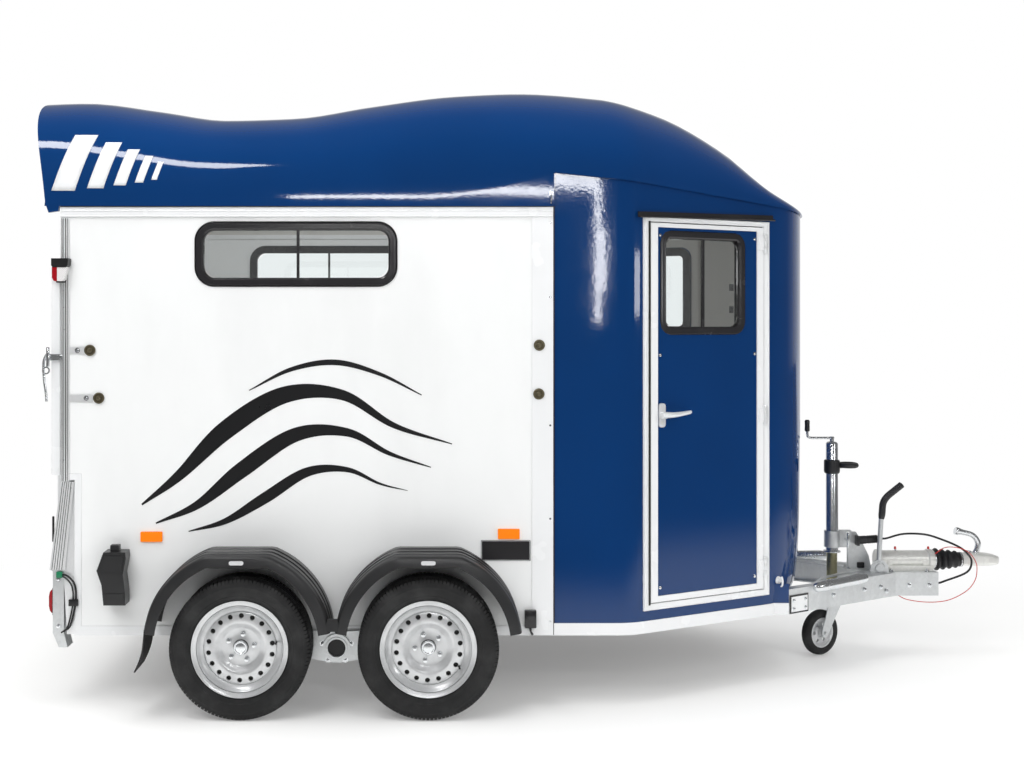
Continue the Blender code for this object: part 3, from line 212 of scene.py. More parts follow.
def side_frame(sign):
    """u forward, v up, w outwards on one side."""
    return Matrix(((1, 0, 0, 0), (0, 0, sign, 0), (0, 1, 0, 0), (0, 0, 0, 1)))


def wall_frame(sign):
    return Matrix.Translation((0, sign * BODY_HALF, 0)) @ side_frame(sign)


REAR = Matrix(((0, 0, -1, 0), (1, 0, 0, 0), (0, 1, 0, 0), (0, 0, 0, 1)))

DOOR_DIR = Vector((DOOR_END[0] - DOOR_START[0], DOOR_END[1] - DOOR_START[1])).normalized()
DOOR_OUT = Vector((DOOR_DIR.y, -DOOR_DIR.x))
DOOR_TURN = math.atan2(DOOR_DIR.y, DOOR_DIR.x)


def door_frame(sign=-1):
    """u along the slanted door plane, v up, w outwards."""
    along = (DOOR_DIR.x, -sign * DOOR_DIR.y, 0.0)
    out = (DOOR_OUT.x, -sign * DOOR_OUT.y, 0.0)
    start = (DOOR_START[0], -sign * DOOR_START[1], 0.0)
    return Matrix([(along[row], (0.0, 0.0, 1.0)[row], out[row], start[row]) for row in range(3)] + [(0, 0, 0, 1)])


class Shape:
    """Solids gathered into one mesh, which then becomes a piece."""

    def __init__(self, matrix=PLAN):
        self.bm = bmesh.new()
        self.matrix = matrix

    def soften(self, verts, bevel):
        """Rounds the sharp edges at some corners."""
        if bevel:
            sharp = [e for v in verts for e in v.link_edges if e.calc_face_angle(0.0) > math.radians(30)]
            bmesh.ops.bevel(self.bm, geom=list(dict.fromkeys(sharp)), offset=bevel, segments=2, profile=0.5,
                            affect="EDGES", clamp_overlap=True)

    def block(self, xs, ys, zs, bevel=0.0):
        middle = Vector([(a + b) / 2 for a, b in (xs, ys, zs)])
        place = Matrix.Translation(middle) @ Matrix.Diagonal((xs[1] - xs[0], ys[1] - ys[0], zs[1] - zs[0], 1.0))
        verts = bmesh.ops.create_cube(self.bm, size=1.0, matrix=self.matrix @ place)["verts"]
        self.soften(verts, bevel)
        return self

    def rod(self, start, end, radius, end_radius=None, sides=24, bevel=0.0):
        start, end = Vector(start), Vector(end)
        axis = end - start
        turn = axis.to_track_quat("Z", "Y").to_matrix().to_4x4()
        verts = bmesh.ops.create_cone(
            self.bm, cap_ends=True, segments=sides, radius1=radius,
            radius2=radius if end_radius is None else end_radius, depth=axis.length,
            matrix=self.matrix @ Matrix.Translation((start + end) / 2) @ turn)["verts"]
        self.soften(verts, bevel)
        return self

    def bolt(self, place, direction, radius, height, washer=0.0):
        """A hexagonal head on a washer."""
        place, direction = Vector(place), Vector(direction).normalized()
        if washer:
            self.rod(place, place + direction * 0.0015, washer, sides=20)
            place = place + direction * 0.0015
        self.rod(place, place + direction * height, radius, sides=6, bevel=radius * 0.08)
        self.rod(place + direction * height, place + direction * (height + radius * 0.5), radius * 0.5, sides=10,
                 bevel=radius * 0.1)
        return self

    def ball(self, centre, radius, rings=10):
        bmesh.ops.create_uvsphere(self.bm, u_segments=rings * 2, v_segments=rings, radius=radius,
                                  matrix=self.matrix @ Matrix.Translation(centre))
        return self

    def loft(self, rings, wrap=False):
        """A skin over closed rings, capped at both ends or wrapped round to its start."""
        rows = [[self.bm.verts.new(self.matrix @ Vector(p)) for p in row] for row in rings]
        pairs = list(zip(rows, rows[1:])) + ([(rows[-1], rows[0])] if wrap else [])
        for near, far in pairs:
            for index in range(len(near)):
                after = (index + 1) % len(near)
                self.bm.faces.new((near[index], near[after], far[after], far[index]))
        if not wrap:
            self.bm.faces.new(rows[0])
            self.bm.faces.new(rows[-1])
        return self

    def prism(self, outline, low, high, place=PLAN, bevel=0.0):
        """A flat outline given a thickness."""
        before = set(self.bm.verts)
        self.loft([[place @ Vector((u, v, w)) for u, v in outline] for w in (low, high)])
        self.soften([v for v in self.bm.verts if v not in before], bevel)
        return self

    def band(self, outline, section):
        """A closed ring that follows an outline; section gives steps inwards and outwards of the plane."""
        count = len(outline)
        rows = []
        for index, point in enumerate(outline):
            before, after = Vector(outline[index - 1]), Vector(outline[(index + 1) % count])
            along = (after - before).normalized()
            inward = Vector((-along.y, along.x))
            rows.append([(point[0] + inward.x * a, point[1] + inward.y * a, w) for a, w in section])
        return self.loft(rows, wrap=True)

    def lathe(self, profile, place, steps=48):
        """A profile of radius and height, turned about its Z axis; ends off the axis are joined."""
        rows = []
        for radius, height in profile:
            if radius <= 1e-6:
                rows.append([self.bm.verts.new(self.matrix @ place @ Vector((0, 0, height)))])
            else:
                rows.append([self.bm.verts.new(self.matrix @ place @ Vector(
                    (radius * math.cos(2 * math.pi * i / steps), radius * math.sin(2 * math.pi * i / steps), height)))
                    for i in range(steps)])
        pairs = list(zip(rows, rows[1:]))
        if len(rows[0]) > 1 or len(rows[-1]) > 1:
            pairs.append((rows[-1], rows[0]))
        for near, far in pairs:
            for i in range(steps):
                corners = [near[i % len(near)], near[(i + 1) % len(near)], far[(i + 1) % len(far)], far[i % len(far)]]
                face = list(dict.fromkeys(corners))
                if len(face) > 2:
                    self.bm.faces.new(face)
        return self

    def tube(self, points, radius, sides=12, radii=None, flatten=1.0):
        """A round bar along points, its frame carried along without twist."""
        points = [Vector(p) for p in points]
        side = None
        rows = []
        for index, point in enumerate(points):
            before, after = points[max(index - 1, 0)], points[min(index + 1, len(points) - 1)]
            along = (after - before).normalized()
            if side is None:
                side = along.orthogonal().normalized()
            side = (side - along * side.dot(along)).normalized()
            up = along.cross(side)
            size = radius * (radii[index] if radii else 1.0)
            rows.append([point + size * (side * math.cos(a) + up * math.sin(a) * flatten)
                         for a in (2 * math.pi * i / sides for i in range(sides))])
        return self.loft(rows)

    def skin(self, rows):
        """An open sheet through rows of points."""
        lines = [[self.bm.verts.new(self.matrix @ Vector(p)) for p in row] for row in rows]
        for low, high in zip(lines, lines[1:]):
            for a, b, c, d in zip(low, low[1:], high[1:], high):
                self.bm.faces.new((a, b, c, d))
        return self

    def piece(self, name, finish, body="trailer", replaces=(), angle=32, recalc=True, slot=None):
        """The finished object, with its finish, riding on a body."""
        return dress(loose(self, name, recalc), finish, body, replaces, angle)


def loose(shape, name, recalc=True):
    """An object of a shape that isn't a piece yet, such as a cutter."""
    if recalc:
        bmesh.ops.recalc_face_normals(shape.bm, faces=shape.bm.faces)
    mesh = bpy.data.meshes.new(name)
    shape.bm.to_mesh(mesh)
    shape.bm.free()
    obj = bpy.data.objects.new(name, mesh)
    bpy.context.scene.collection.objects.link(obj)
    return obj


def dress(obj, finish, body="trailer", replaces=(), angle=32):
    """Gives an object its finish and makes it ride on a body."""
    obj.data.materials.clear()
    obj.data.materials.append(FINISHES[finish])
    if angle is not None:
        obj.data.shade_smooth()
        obj.data.set_sharp_from_angle(angle=math.radians(angle))
    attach(obj, body)
    if replaces:
        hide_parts(*replaces)
    return obj


def applied(obj):
    """Turns an object's modifiers into its mesh."""
    graph = bpy.context.evaluated_depsgraph_get()
    graph.update()
    mesh = bpy.data.meshes.new_from_object(obj.evaluated_get(graph))
    obj.modifiers.clear()
    obj.data = mesh
    return obj


def carve(obj, *cutters):
    """Cuts shapes out of an object and removes the cutters."""
    for cutter in cutters:
        change = obj.modifiers.new("cut", "BOOLEAN")
        change.operation = "DIFFERENCE"
        change.solver = "EXACT"
        change.object = cutter
    applied(obj)
    for cutter in cutters:
        bpy.data.objects.remove(cutter, do_unlink=True)
    return obj


# ---- repeats made with Geometry Nodes


def repeat_on_circle(name, shape, finish, count, radius, place=PLAN):
    """Copies of a shape round the Z axis, as one plain mesh moved to its place."""
    tree = bpy.data.node_groups.new(name + "_tree", "GeometryNodeTree")
    inlets = {}
    for label, kind in (("Geometry", "Geometry"), ("Count", "Int"), ("Radius", "Float"), ("Model", "Object"),
                        ("Finish", "Material")):
        inlets[label] = tree.interface.new_socket(label, in_out="INPUT", socket_type=f"NodeSocket{kind}")
    tree.interface.new_socket("Geometry", in_out="OUTPUT", socket_type="NodeSocketGeometry")
    given, circle, info, where, align, copies, real, paint, out = [tree.nodes.new(kind) for kind in (
        "NodeGroupInput", "GeometryNodeMeshCircle", "GeometryNodeObjectInfo", "GeometryNodeInputPosition",
        "FunctionNodeAlignRotationToVector", "GeometryNodeInstanceOnPoints", "GeometryNodeRealizeInstances",
        "GeometryNodeSetMaterial", "NodeGroupOutput")]
    align.axis, align.pivot_axis = "X", "Z"
    for start, outlet, end, inlet in (
            (given, "Count", circle, "Vertices"), (given, "Radius", circle, "Radius"),
            (given, "Model", info, "Object"), (where, "Position", align, "Vector"), (circle, "Mesh", copies, "Points"),
            (info, "Geometry", copies, "Instance"), (align, "Rotation", copies, "Rotation"),
            (copies, "Instances", real, "Geometry"), (real, "Geometry", paint, "Geometry"),
            (given, "Finish", paint, "Material"), (paint, "Geometry", out, "Geometry")):
        tree.links.new(start.outputs[outlet], end.inputs[inlet])
    source = loose(shape, name + "_model")
    holder = bpy.data.objects.new(name, bpy.data.meshes.new(name))
    bpy.context.scene.collection.objects.link(holder)
    change = holder.modifiers.new("repeat", "NODES")
    change.node_group = tree
    for label, value in (("Count", count), ("Radius", radius), ("Model", source), ("Finish", FINISHES[finish])):
        change[inlets[label].identifier] = value
    applied(holder)
    bpy.data.objects.remove(source, do_unlink=True)
    holder.data.transform(place)
    return holder


# ---- finishes


class Wire:
    """A shader socket that takes part in Python sums and products."""

    def __init__(self, maker, socket):
        self.maker, self.socket = maker, socket

    def math(self, operation, *values):
        return self.maker.node("ShaderNodeMath", {"operation": operation}, *values)

    def __add__(self, other):
        return self.math("ADD", self, other)

    __radd__ = __add__

    def __sub__(self, other):
        return self.math("SUBTRACT", self, other)

    def __rsub__(self, other):
        return self.math("SUBTRACT", other, self)

    def __mul__(self, other):
        return self.math("MULTIPLY", self, other)

    __rmul__ = __mul__


class Nodes:
    """The shader nodes of a material or of the world."""

    def __init__(self, owner):
        self.owner = owner
        owner.use_nodes = True
        self.tree = owner.node_tree
        self.tree.nodes.clear()

    def add(self, kind, settings):
        made = self.tree.nodes.new(kind)
        for key, value in settings.items():
            setattr(made, key, value)
        return made

    def outlet(self, made, output):
        return Wire(self, made.outputs[output])

    def node(self, kind, settings, *values, output=0, **named):
        made = self.add(kind, settings)
        for index, value in enumerate(values):
            self.feed(made.inputs[index], value)
        for key, value in named.items():
            self.feed(made.inputs[key.replace("_", " ")], value)
        return self.outlet(made, output)

    def feed(self, socket, value):
        if isinstance(value, Wire):
            self.tree.links.new(value.socket, socket)
        elif value is not None:
            socket.default_value = value

    def between(self, value, low, high):
        """0 to 1 as the value goes from low to high."""
        return self.node("ShaderNodeMapRange", {"interpolation_type": "SMOOTHSTEP"}, value, low, high)

    def mix(self, factor, first, second):
        made = self.add("ShaderNodeMix", {"data_type": "RGBA"})
        for index, value in ((0, factor), (6, first), (7, second)):
            self.feed(made.inputs[index], value if isinstance(value, (Wire, float)) else (*value, 1.0))
        return self.outlet(made, 2)

    def axis(self, vector, name):
        return self.node("ShaderNodeSeparateXYZ", {}, vector, output=name)

    def ray(self, kind):
        return self.node("ShaderNodeLightPath", {}, output=f"Is {kind} Ray")

    def seen(self):
        """1 for what the camera sees, also through glass."""
        return self.between(self.ray("Camera") + self.ray("Transmission"), 0.0, 1.0)

    def finish(self, kind, surface):
        """Ends the tree in its output node."""
        out = self.add(f"ShaderNodeOutput{kind}", {})
        self.feed(out.inputs["Surface"], surface)
        return self.owner


class Finish(Nodes):
    """A material with one main shader."""

    def __init__(self, name, colour, roughness, metallic=0.0, **constant):
        super().__init__(bpy.data.materials.new(name))
        self.shader = self.add("ShaderNodeBsdfPrincipled", {})
        self.finish("Material", self.outlet(self.shader, 0))
        self.place = self.node("ShaderNodeTexCoord", {}, output="Object")
        self.set(Base_Color=(*colour, 1.0), Roughness=roughness, Metallic=metallic, **constant)

    def set(self, **sockets):
        for key, value in sockets.items():
            self.feed(self.shader.inputs[key.replace("_", " ")], value)

    def noise(self, scale, detail=3.0, stretch=None):
        vector = self.node("ShaderNodeMapping", {}, self.place, Scale=stretch) if stretch else self.place
        return self.node("ShaderNodeTexNoise", {}, Vector=vector, Scale=scale, Detail=detail, Roughness=0.55)

    def cells(self, scale, output="Distance"):
        return self.node("ShaderNodeTexVoronoi", {"feature": "F1"}, Vector=self.place, Scale=scale, output=output)

    def bump(self, height, strength, distance=0.001):
        return self.node("ShaderNodeBump", {}, Height=height, Strength=strength, Distance=distance)


def shade(colour, factor):
    return tuple(min(c * factor, 1.0) for c in colour)


def gelcoat(name, colour):
    """Glossy moulded polyester with a faint orange peel."""
    made = Finish(name, colour, 0.1, Coat_Roughness=0.03, IOR=1.45)
    cloud = made.noise(1.7, 2.0)
    made.set(Base_Color=made.mix(cloud, shade(colour, 0.86), shade(colour, 1.12)),
             Roughness=0.03 + 0.06 * made.noise(14.0, 3.0),
             Coat_Weight=0.1 * made.noise(6.0, 2.0),
             Normal=made.bump(made.noise(70.0, 1.0) + 6.0 * made.noise(2.2, 1.0), 0.08, 0.0012))
    return made.owner


def coated_panel(name, colour, roughness=0.34, grain=0.05, soil=0.955):
    """White coated sheet with a fine texture and light marks from washing."""
    made = Finish(name, colour, roughness)
    wash = made.noise(2.4, 4.0, stretch=(1.0, 1.0, 0.35))
    made.set(Base_Color=made.mix(made.between(wash, 0.42, 0.7), colour, shade(colour, soil)),
             Roughness=roughness - 0.05 + 0.1 * made.noise(9.0, 2.0),
             Normal=made.bump(made.noise(420.0, 2.0), grain, 0.0006))
    return made.owner


def zinc(name, colour, roughness, spangle=70.0, metallic=0.85, contrast=0.12, relief=0.1):
    """Galvanised or plated steel with faint crystal patches, dull streaks and fine dross."""
    made = Finish(name, colour, roughness, metallic)
    patch = made.node("ShaderNodeSeparateColor", {}, made.cells(spangle, output="Color"))
    tone = 0.5 * patch + 0.5 * made.noise(spangle * 0.3, 5.0)
    streak = made.between(made.noise(6.0, 4.0, stretch=(1.0, 1.0, 0.25)), 0.5, 0.8)
    crystal = made.mix(tone, shade(colour, 1.0 - contrast), shade(colour, 1.0 + contrast * 0.5))
    made.set(Base_Color=made.mix(streak, crystal, shade(colour, 0.88)),
             Roughness=roughness - 0.05 + 0.12 * tone + 0.08 * streak,
             Normal=made.bump(0.3 * patch + made.noise(140.0, 3.0), relief, 0.0005))
    return made.owner


def moulded(name, colour, roughness, grain=260.0, depth=0.35, **constant):
    """Moulded plastic or rubber with a leathery grain and a little dust."""
    made = Finish(name, colour, roughness, **constant)
    dust = made.between(made.noise(6.0, 5.0), 0.5, 0.8)
    made.set(Base_Color=made.mix(dust, colour, tuple(c * 0.85 + 0.012 for c in colour)),
             Roughness=roughness + 0.1 * dust,
             Normal=made.bump(made.cells(grain) + made.noise(grain * 0.6, 2.0), depth, 0.0005))
    return made.owner


def tyre_rubber(name, colour):
    """Black rubber with a grey bloom and fine moulding lines."""
    made = Finish(name, colour, 0.74)
    bloom = made.between(made.noise(9.0, 5.0), 0.4, 0.75)
    made.set(Base_Color=made.mix(bloom, colour, tuple(c + 0.018 for c in colour)),
             Roughness=0.66 + 0.16 * made.noise(40.0, 3.0),
             Normal=made.bump(made.noise(380.0, 2.0), 0.3, 0.0005))
    return made.owner


def painted_rim(name, colour):
    """Silver lacquer with fine flakes, a little brake dust in the hollows."""
    made = Finish(name, colour, 0.34, 0.55, Coat_Roughness=0.1)
    flake = made.node("ShaderNodeSeparateColor", {}, made.cells(900.0, output="Color"))
    dust = made.between(made.noise(13.0, 5.0), 0.48, 0.8)
    base = made.mix(flake, shade(colour, 0.93), shade(colour, 1.06))
    made.set(Base_Color=made.mix(dust, base, shade(colour, 0.8)), Roughness=0.3 + 0.22 * dust,
             Coat_Weight=0.5 - 0.3 * dust, Normal=made.bump(made.noise(240.0, 2.0), 0.06, 0.0004))
    return made.owner


def clear_sheet(name, colour):
    """Clear plastic glazing with faint smears."""
    made = Finish(name, colour, 0.03, Transmission_Weight=1.0, IOR=1.49)
    smear = made.between(made.noise(5.0, 5.0), 0.45, 0.85)
    made.set(Roughness=0.012 + 0.03 * smear)
    return made.owner


def lens(name, colour, pitch=0.004, painted_glow=0.0):
    """A coloured lamp lens with small prisms behind its face; its emission is a painted glow that stands in for the
    light the prisms send back.
    """
    made = Finish(name, colour, 0.1, Coat_Roughness=0.03, Emission_Color=(*colour, 1.0), Emission_Strength=painted_glow)
    prism = made.node("ShaderNodeTexChecker", {}, made.place, Scale=1.0 / pitch, output="Fac")
    made.set(Base_Color=made.mix(prism, shade(colour, 0.72), shade(colour, 1.15)),
             Roughness=0.09 + 0.1 * made.noise(30.0, 2.0),
             Normal=made.bump(made.cells(1.0 / pitch), 0.4, 0.0008))
    return made.owner


def faced_ply(name, colour):
    """Film-faced plywood with a wire-mesh print and scuffs."""
    made = Finish(name, colour, 0.62)
    scuff = made.between(made.noise(6.0, 6.0, stretch=(0.4, 1.0, 1.0)), 0.48, 0.78)
    made.set(Base_Color=made.mix(scuff, colour, shade(colour, 1.7)), Roughness=0.55 + 0.2 * scuff,
             Normal=made.bump(made.cells(150.0), 0.5, 0.0008))
    return made.owner


def vinyl(name, colour):
    """Cut film with a satin face."""
    made = Finish(name, colour, 0.3)
    made.set(Base_Color=made.mix(made.noise(20.0, 3.0), shade(colour, 0.9), shade(colour, 1.1)),
             Roughness=0.24 + 0.12 * made.noise(12.0, 4.0),
             Normal=made.bump(made.noise(60.0, 2.0), 0.05, 0.0004))
    return made.owner


def make_finishes(settings):
    """Every finish of the trailer, by name."""
    return {
        "blue": gelcoat("blue_gelcoat", tuple(settings.body_colour)),
        "white": coated_panel("white_panel", tuple(settings.wall_colour)),
        "rail": coated_panel("white_rail", (0.88, 0.89, 0.9), 0.26, 0.02, 0.97),
        "zinc": zinc("galvanised_steel", (0.78, 0.8, 0.81), 0.42),
        "bright_zinc": zinc("plated_steel", (0.8, 0.82, 0.84), 0.22, 160.0, 0.95, 0.08, 0.04),
        "alloy": zinc("brushed_aluminium", (0.9, 0.91, 0.92), 0.3, 240.0, 0.45, 0.05, 0.03),
        "brass": zinc("dull_brass", (0.17, 0.145, 0.09), 0.38, 120.0, 0.7, 0.25, 0.08),
        # dark cast finish of the brake drums, also used for the painted shade in the grooves of the rear posts and
        # corner covers
        "drum": zinc("cast_drum_and_groove_shade", (0.035, 0.034, 0.033), 0.62, 60.0, 0.3, 0.4, 0.2),
        "cast": zinc("galvanised_casting", (0.86, 0.86, 0.83), 0.42, 60.0, 0.6, 0.12, 0.22),
        "olive": zinc("yellow_zinc", (0.46, 0.43, 0.27), 0.3, 90.0, 0.9),
        "rim": painted_rim("silver_rim", tuple(settings.rim_colour)),
        "tyre": tyre_rubber("tyre_rubber", (0.01, 0.01, 0.0105)),
        "lining": coated_panel("cabin_lining", (0.62, 0.61, 0.58), 0.45, 0.08),
        "plastic": moulded("charcoal_plastic", (0.022, 0.022, 0.023), 0.32, 260.0, 0.2),
        "rubber": moulded("black_rubber", (0.01, 0.01, 0.011), 0.45, 420.0, 0.12),
        "gloss_black": moulded("window_frame_plastic", (0.02, 0.019, 0.021), 0.22, 500.0, 0.05),
        "grip": moulded("grip_plastic", (0.02, 0.02, 0.022), 0.38, 300.0, 0.25),
        "pane": clear_sheet("clear_acrylic", (0.93, 0.96, 0.96)),
        # the last number of each lens is a painted glow, emission standing in for light the reflectors send back
        "amber": lens("amber_reflector", (0.95, 0.21, 0.004), 0.004, 0.3),
        "red_lens": lens("red_lens", (0.34, 0.006, 0.012), 0.004, 0.05),
        "clear_lens": lens("clear_lens", (0.82, 0.8, 0.8)),
        "ply": faced_ply("faced_plywood", (0.055, 0.035, 0.025)),
        "black_film": vinyl("black_film", tuple(settings.band_colour)),
        "white_film": vinyl("white_film", (0.82, 0.83, 0.84)),
        "red_sheath": moulded("red_sheath", (0.55, 0.03, 0.025), 0.35, 500.0, 0.1),
        "green": moulded("green_connector", (0.01, 0.2, 0.09), 0.4, 300.0, 0.2),
    }


FINISHES = {}

# finish and the frame's own shapes that show in it
SHOWN_NODES = (
    ("rail", ("wall_frame_right", "wall_frame_left", "door_frame", "door_edge", "ramp_frame")),
    ("white", ("wall_panel_right", "wall_panel_left", "ramp_panel", "partition")),
    ("pane", ("side_window_right_glass", "side_window_left_glass", "door_window_glass", "nose_window_glass")),
    ("blue", ("door_panel",)),
    ("ply", ("floor_deck",)),
    ("zinc", ("chassis_rail_right", "chassis_rail_left", "cross_member_1", "cross_member_2", "cross_member_3",
              "cross_member_4", "drawbar", "coupling_housing", "suspension_tube", "swing_arms_right",
              "swing_arms_left", "rear_frame", "jockey_bracket", "handbrake_lever", "jockey_fork", "jockey_tube")),
    ("bright_zinc", ("door_handle",)),
    ("cast", ("coupling_head",)),
    ("olive", ("jockey_slide",)),
    ("red_lens", ("tail_lamp_right", "tail_lamp_left")),
    ("plastic", ("wheel_chock", "marker_lamp_right", "marker_lamp_left")),
    ("grip", ("cable_plug",)),
)


# ---- nose and roof


def nose_half_plan():
    """Points from the seam round the right side to the middle of the front."""
    bend_steps, front_steps = 12, 28
    points = [Vector((SEAM_X, -BODY_HALF)), Vector((0.07, -BODY_HALF)), Vector((0.14, -BODY_HALF))]
    corner_x = DOOR_START[0] - (DOOR_START[1] + BODY_HALF) / math.tan(DOOR_TURN)
    bend_x = corner_x - BEND_R * math.tan(DOOR_TURN / 2)
    for step in range(bend_steps + 1):
        heading = DOOR_TURN * step / bend_steps
        points.append(Vector((bend_x + BEND_R * math.sin(heading), -BODY_HALF + BEND_R * (1 - math.cos(heading)))))
    end = Vector(DOOR_END)
    for step in range(front_steps + 1):
        heading = DOOR_TURN + (math.pi / 2 - DOOR_TURN) * step / front_steps
        points.append(end + FRONT_R * Vector((math.sin(heading) - math.sin(DOOR_TURN),
                                              math.cos(DOOR_TURN) - math.cos(heading))))
    return points


def offset(points, distance):
    """The same path moved to its right-hand side by a distance."""
    moved = []
    for index, point in enumerate(points):
        before = points[max(index - 1, 0)]
        after = points[min(index + 1, len(points) - 1)]
        first = (point - before).normalized() if index else (after - point).normalized()
        second = (after - point).normalized() if index < len(points) - 1 else first
        middle = (Vector((first.y, -first.x)) + Vector((second.y, -second.x))).normalized()
        moved.append(point + middle * distance / max(middle.dot(Vector((first.y, -first.x))), 0.5))
    return moved


def both_sides(half):
    return half + [Vector((p.x, -p.y)) for p in reversed(half)][1:]


NOSE_HALF = nose_half_plan()


def tuck(x, z):
    """How far the front of the nose draws in towards its foot."""
    table = ((BODY_FLOOR_Z, 0.085), (SILL_TOP, 0.07), (0.42, 0.03), (0.55, 0.014), (0.8, 0.004), (1.2, 0.0))
    share = min(max((x - TUCK_X) / (CREASE_END_X - TUCK_X), 0.0), 1.0)
    return share * interpolate(table, z)


def crease(x):
    return CREASE_START_Z + (CREASE_END_Z - CREASE_START_Z) * (x - SEAM_X) / (CREASE_END_X - SEAM_X)


def nose_wall(name, levels, out=0.0, thickness=NOSE_T):
    """A closed shell over the nose's plan between its lowest and highest level."""
    outer = both_sides(offset(NOSE_HALF, out))
    inner = both_sides(offset(NOSE_HALF, out - thickness))
    rows = [[(p.x - tuck(p.x, z), p.y, z) for p in plan]
            for plan, heights in ((outer, levels), (inner, reversed(levels))) for z in heights]
    return loose(Shape().loft(list(zip(*rows))), name)


def roof_ring(place, inset):
    """The arch over one station: its foot, its springing line and a flattened half ellipse."""
    foot = WALL_TOP_Z - 0.06
    top = interpolate(CROWN, place.x) - inset
    nose_share = smooth_step((place.x + 0.6) / 0.8)
    spring = WALL_TOP_Z + 0.02 + nose_share * (crease(max(place.x, SEAM_X)) - WALL_TOP_Z - 0.02)
    spring = min(spring, top - 0.01)
    power = ROOF_POWER - 0.5 * nose_share
    half = [(place.y, foot)]
    for step in range(ARCH_STEPS):
        t = math.pi / 2 * step / ARCH_STEPS
        half.append((place.y * math.cos(t) ** (2 / power), spring + (top - spring) * math.sin(t) ** (2 / power)))
    half.append((0.0, top))
    lean = TAIL_LEAN * min(max((TAIL_START_X - place.x) / (TAIL_START_X - ROOF_REAR_X), 0.0), 1.0)
    line = half + [(-y, z) for y, z in reversed(half[:-1])]
    rise = TAIL_TOP_Z - WALL_TOP_Z
    return [(place.x - lean * (max(z - WALL_TOP_Z, 0.0) / rise) ** 1.6, y, z) for y, z in line]


def roof_body(name, inset, rear_x):
    """A closed body under the roof's skin, drawn in by the inset."""
    half_width = ROOF_HALF - inset
    nose = list(offset(NOSE_HALF, ROOF_LIP - inset)[1:])
    nose[0].y = nose[1].y = -half_width
    run = Vector(DOOR_END) - Vector(DOOR_START)
    reach = (ROOF_LIP - inset) / math.cos(DOOR_TURN)
    door = [Vector((x, DOOR_START[1] + run.y * (x - DOOR_START[0]) / run.x - reach))
            for x in (0.46 + 0.06 * i for i in range(9))]
    count = 34
    side = [Vector((rear_x + (-0.02 - rear_x) * i / count, -half_width)) for i in range(count + 1)]
    stations = sorted(side + nose + door, key=lambda place: place.x)
    stations = [place for place in stations if place.y < -0.03]
    return loose(Shape().loft([roof_ring(place, inset) for place in stations]), name)


NOSE_LEVELS = (SILL_TOP, 0.37, 0.39, 0.42, 0.46, 0.5, 0.55, 0.62, 0.7, 0.8, 0.95, 1.2, 1.5, 1.8, 2.1, 2.3)


def side_cutter(outline):
    """A cutter across the whole width, from its outline seen from the side."""
    return loose(Shape().prism(outline, -1.1, 1.1, side_frame(1)), "side_cutter")


def below_roof(gap=0.0):
    """A cutter for all under the roof's lower edge, raised by a gap."""
    return side_cutter([(-2.6, 1.9), (1.6, 1.9), (1.6, crease(1.6) + gap), (SEAM_X, crease(SEAM_X) + gap),
                        (SEAM_X, WALL_TOP_Z + gap / 2), (-2.6, WALL_TOP_Z + gap / 2)])


def nose_cutters(gap=0.0, foot=0.0):
    """Cutters for all over the crease, the door's opening and the far window, widened by a gap."""
    cutters = [side_cutter([(-0.2, crease(-0.2) - gap / 2), (1.6, crease(1.6) - gap / 2), (1.6, 2.6), (-0.2, 2.6)])]
    for outline, place in (
            (rectangle((-gap, DOOR_W + gap), (DOOR_Z[0] - foot, DOOR_Z[1] + gap)), door_frame()),
            (rounded(shrink(DOOR_WINDOW_S, -5 * gap), shrink(DOOR_WINDOW_Z, -5 * gap), DOOR_WINDOW_R), door_frame(1))):
        cutters.append(loose(Shape().prism(outline, -0.08, 0.05, place), "nose_cutter"))
    return cutters


def beam_cutters():
    """Cutters for the slots that the drawbar's beams pass through."""
    return [loose(Shape().block((0.9, 1.4), sorted((sign * 0.36, sign * 0.483)), (0.2, 0.415)), "beam_cutter")
            for _, sign in SIDES]


def build_roof():
    shell = roof_body("roof_skin", 0.0, ROOF_REAR_X)
    carve(shell, roof_body("roof_cutter", ROOF_T, ROOF_REAR_X - 0.1), below_roof())
    return dress(shell, "blue", replaces=["roof_shell"], angle=40)


def build_lining():
    """Light inner faces of the roof and nose, as seen through the windows."""
    shell = roof_body("roof_lining", ROOF_T + 0.0005, ROOF_REAR_X + 0.02)
    carve(shell, roof_body("roof_cutter", ROOF_T + 0.003, ROOF_REAR_X - 0.1), below_roof(0.002))
    dress(shell, "lining", angle=40)
    wall = nose_wall("nose_lining", NOSE_LEVELS[4:], out=-NOSE_T - 0.0005, thickness=0.002)
    carve(wall, *nose_cutters(0.002, 0.1))
    dress(wall, "lining", angle=40)


def build_nose():
    shell = nose_wall("nose_skin", NOSE_LEVELS)
    carve(shell, *nose_cutters())
    carve(shell, *beam_cutters())
    dress(shell, "blue", replaces=["nose_shell"], angle=40)
    sill = nose_wall("nose_sill", (BODY_FLOOR_Z, 0.304, 0.348, SILL_TOP), out=0.004, thickness=0.024)
    carve(sill, *beam_cutters())
    dress(sill, "rail")


# ---- operators


class Builder:
    """What every operator of the trailer shares."""

    bl_options = {"REGISTER", "UNDO"}

    @staticmethod
    def settings(context):
        return context.scene.horse_trailer


